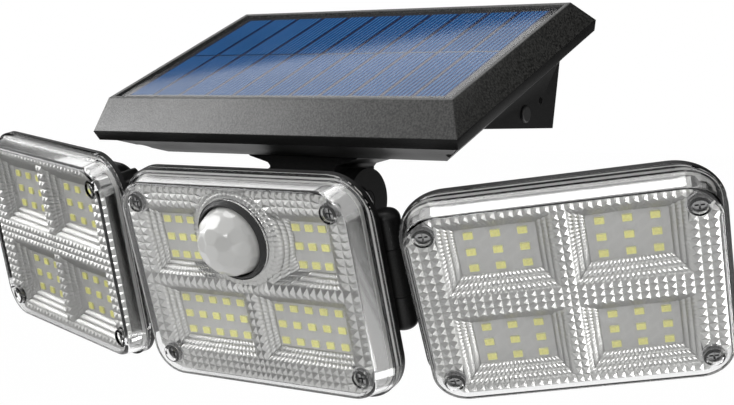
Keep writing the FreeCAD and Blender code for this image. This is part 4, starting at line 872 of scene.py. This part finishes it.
class LampSettings(bpy.types.PropertyGroup):
    mirror: colour_choice("Reflector", "Plated film on the pyramids", (0.41, 0.41, 0.4))
    mirror_band: colour_choice("Reflector band", "Plated film on the side band",
                               (0.33, 0.33, 0.325))
    board: colour_choice("LED board", "Solder mask of the LED board", (0.45, 0.45, 0.44))
    phosphor: colour_choice("Phosphor", "Yellow pad of an LED", (0.8, 0.77, 0.24))
    led_case: colour_choice("LED case", "Case of an LED", (0.8, 0.78, 0.36))
    led_border: length_choice("LED border", "Case seen round the phosphor", 0.00014, 0.0001,
                              0.001)
    pitch_across: length_choice("Pyramid width", "Width of a pyramid", 0.0031, 0.002, 0.006)
    pitch_up: length_choice("Pyramid height", "Upright size of a pyramid", 0.0034, 0.002, 0.006)
    rib_pitch: length_choice("Rib pitch", "Width of a rib on a window's wall", 0.00195, 0.001,
                             0.006)
    pyramid: share_choice("Pyramid relief", "Share of a pyramid's radius", 0.42)
    rib: share_choice("Rib height", "Share of a wall rib's radius", 0.45)
    wall_rows: IntProperty(name="Wall rows", description="Rows of ribs on a window's wall",
                           default=3, min=1, max=6)


class SensorSettings(bpy.types.PropertyGroup):
    milk: colour_choice("Lens", "Milky lens of the sensor", (0.6, 0.6, 0.585))
    facet: share_choice("Facets", "How flat the lens's facets are", 0.9)


class PanelSettings(bpy.types.PropertyGroup):
    cell_blue: colour_choice("Cell", "Blue of the solar cells", (0.004, 0.035, 0.17))
    cell_deep: colour_choice("Cell, deep", "Deeper blue of the cells", (0.003, 0.022, 0.11))
    cell_line: colour_choice("Collector lines", "Fine lines on the cells", (0.02, 0.145, 0.36))
    gap: colour_choice("Backing", "Board between the cells", (0.004, 0.004, 0.006))


class StageSettings(bpy.types.PropertyGroup):
    floor: colour_choice("Floor", "Pale floor", (0.8, 0.8, 0.8))
    whiteness: share_choice("Whiteness", "How even and white the floor looks", 0.85)
    ambient: brightness_choice("Ambient", "Light from all round", 0.36)
    key: brightness_choice("Key lamp", "Brightness of the left front lamp", 5.0)
    near: brightness_choice("Near lamp", "Brightness of the lamp near the camera", 11.0)
    side: brightness_choice("Side lamp", "Brightness of the low right lamp", 9.0)
    fill: brightness_choice("Fill lamp", "Brightness of the low front lamp", 1.1)
    left: brightness_choice("Left lamp", "Brightness of the far left lamp", 4.5)
    top: brightness_choice("Top lamp", "Brightness of the lamp overhead", 3.5)
    rear: brightness_choice("Rear lamp", "Brightness of the lamp behind the light", 3.0)
    back: brightness_choice("Back lamp", "Brightness of the lamp that the panel mirrors", 1.0)


class LightSettings(bpy.types.PropertyGroup):
    plastics: PointerProperty(type=PlasticSettings)
    lamp: PointerProperty(type=LampSettings)
    sensor: PointerProperty(type=SensorSettings)
    panel: PointerProperty(type=PanelSettings)
    stage: PointerProperty(type=StageSettings)


# ---------------------------------------------------------------- operators

class BuildStep:
    """What every operator of the light shares"""
    bl_options = {"REGISTER", "UNDO"}

    @property
    def settings(self):
        return bpy.context.scene.wall_light


class WALLLIGHT_OT_finishes(BuildStep, bpy.types.Operator):
    """Make every finish of the light"""
    bl_idname = "walllight.finishes"
    bl_label = "Finishes"

    def execute(self, context):
        make_materials(self.settings)
        return {"FINISHED"}


class WALLLIGHT_OT_housing(BuildStep, bpy.types.Operator):
    """Panel housing, wall foot and neck, with softened edges"""
    bl_idname = "walllight.housing"
    bl_label = "Housing and neck"

    def execute(self, context):
        edge = self.settings.plastics.edge
        softened("upper_frame", "housing_top", "root", "frame_plastic", edge)
        softened("lower_shell", "housing_bottom", "root", "black_plastic", edge)
        softened("neck", "neck_moulding", "root", "black_plastic", edge)
        coat("seal_rubber", "housing_seal")
        coat("button_plastic", "mode_button")
        coat("light_pipe", "charge_light")
        coat("holder_plastic", "button_switch")
        return {"FINISHED"}


class WALLLIGHT_OT_arms(BuildStep, bpy.types.Operator):
    """Bracket, arms and black lamp backs, with softened edges"""
    bl_idname = "walllight.arms"
    bl_label = "Bracket, arms and lamp backs"

    def execute(self, context):
        edge = self.settings.plastics.edge
        softened("head_bracket", "bracket_moulding", "centre_head", "black_plastic", edge)
        for side in ("right", "left"):
            softened(f"{side}_arm", f"{side}_arm_moulding", f"{side}_arm", "black_plastic", edge)
        for head in HEADS:
            coat("head_plastic", f"{head}_rear_housing")
            coat("lamp_seal", f"{head}_gasket")
        return {"FINISHED"}


class WALLLIGHT_OT_reflectors(BuildStep, bpy.types.Operator):
    """Plated reflectors with pyramids and ribbed window walls"""
    bl_idname = "walllight.reflectors"
    bl_label = "Reflectors"

    def execute(self, context):
        for head, place in HEADS.items():
            mirror = finished(f"{head}_mirror", reflector_mesh(head, self.settings.lamp), place,
                              f"{head}_head", ["facets", "band"],
                              f"{head}_reflector")
            thickened(mirror, MIRROR_WALL)
        return {"FINISHED"}


class WALLLIGHT_OT_lamps(BuildStep, bpy.types.Operator):
    """LEDs on their boards, behind the clear covers"""
    bl_idname = "walllight.lamps"
    bl_label = "LEDs, boards and covers"

    def execute(self, context):
        for head, place in HEADS.items():
            finished(f"{head}_led_set", led_mesh(head, self.settings.lamp), place,
                     f"{head}_head", ["led_case", "phosphor"], f"{head}_leds")
            coat("led_board", f"{head}_led_board")
            coat("cover", f"{head}_cover")
        return {"FINISHED"}


class WALLLIGHT_OT_sensor(BuildStep, bpy.types.Operator):
    """Motion sensor: faceted lens, ring and element"""
    bl_idname = "walllight.sensor"
    bl_label = "Motion sensor"

    def execute(self, context):
        lens = finished("sensor_lens", dome_mesh(self.settings.sensor), CENTRE, "centre_head",
                        ["dome"], "sensor_dome", DOME_SMOOTH_ANGLE)
        thickened(lens, DOME_WALL)
        coat("ring_plastic", "sensor_ring")
        coat("element", "sensor_element")
        return {"FINISHED"}


class WALLLIGHT_OT_panel(BuildStep, bpy.types.Operator):
    """Solar panel: clear face, cells and backing"""
    bl_idname = "walllight.panel"
    bl_label = "Solar panel"

    def execute(self, context):
        coat("glaze", "panel_glaze")
        coat("silicon", "solar_cells")
        coat("panel_board", "panel_backing")
        return {"FINISHED"}


class WALLLIGHT_OT_fittings(BuildStep, bpy.types.Operator):
    """Screws, bolts, pins and what lies inside the housing"""
    bl_idname = "walllight.fittings"
    bl_label = "Fittings and inside"

    def execute(self, context):
        coat("steel", "case_screws", "neck_screws", "bracket_screws", "tilt_nut", "tilt_washers")
        coat("screw_steel", *(f"{head}_screws" for head in HEADS))
        coat("black_steel", "tilt_bolt", "right_swivel_pin", "left_swivel_pin",
             "right_tilt_bolt", "left_tilt_bolt")
        coat("brass", "right_tilt_insert", "left_tilt_insert")
        coat("battery", "battery_cells")
        coat("holder_plastic", "battery_holder")
        coat("control_board", "control_board")
        return {"FINISHED"}


class WALLLIGHT_OT_stage(BuildStep, bpy.types.Operator):
    """Floor, soft lamps, pale surroundings and the camera"""
    bl_idname = "walllight.stage"
    bl_label = "Stage"

    def execute(self, context):
        stage = self.settings.stage
        make_floor(stage)
        make_world(stage)
        for setting, place, size in LAMPS:
            softbox(f"{setting}_softbox", place, size, getattr(stage, setting))
        for name, place, size in CARDS:
            make_card(name, place, size)
        make_camera()
        bpy.context.scene.view_settings.view_transform = "Standard"
        return {"FINISHED"}


STEPS = (WALLLIGHT_OT_finishes, WALLLIGHT_OT_housing, WALLLIGHT_OT_arms,
         WALLLIGHT_OT_reflectors, WALLLIGHT_OT_lamps, WALLLIGHT_OT_sensor, WALLLIGHT_OT_panel,
         WALLLIGHT_OT_fittings, WALLLIGHT_OT_stage)
GROUPS = (PlasticSettings, LampSettings, SensorSettings, PanelSettings, StageSettings,
          LightSettings)


class WALLLIGHT_PT_pieces(bpy.types.Panel):
    """The light's steps and settings, in the 3D view's sidebar"""
    bl_idname = "WALLLIGHT_PT_pieces"
    bl_label = "Wall light"
    bl_space_type = "VIEW_3D"
    bl_region_type = "UI"
    bl_category = "Wall light"

    def draw(self, context):
        for step in STEPS:
            self.layout.operator(step.bl_idname)
        for part in LightSettings.__annotations__:
            group = getattr(context.scene.wall_light, part)
            box = self.layout.box()
            for name in type(group).__annotations__:
                box.prop(group, name)


CLASSES = GROUPS + STEPS + (WALLLIGHT_PT_pieces,)


def register():
    for item in CLASSES:
        bpy.utils.register_class(item)
    bpy.types.Scene.wall_light = PointerProperty(type=LightSettings)


def unregister():
    del bpy.types.Scene.wall_light
    for item in reversed(CLASSES):
        bpy.utils.unregister_class(item)


def main():
    register()
    for step in STEPS:
        group, name = step.bl_idname.split(".")
        getattr(getattr(bpy.ops, group), name)()


if __name__ == "__main__":
    main()
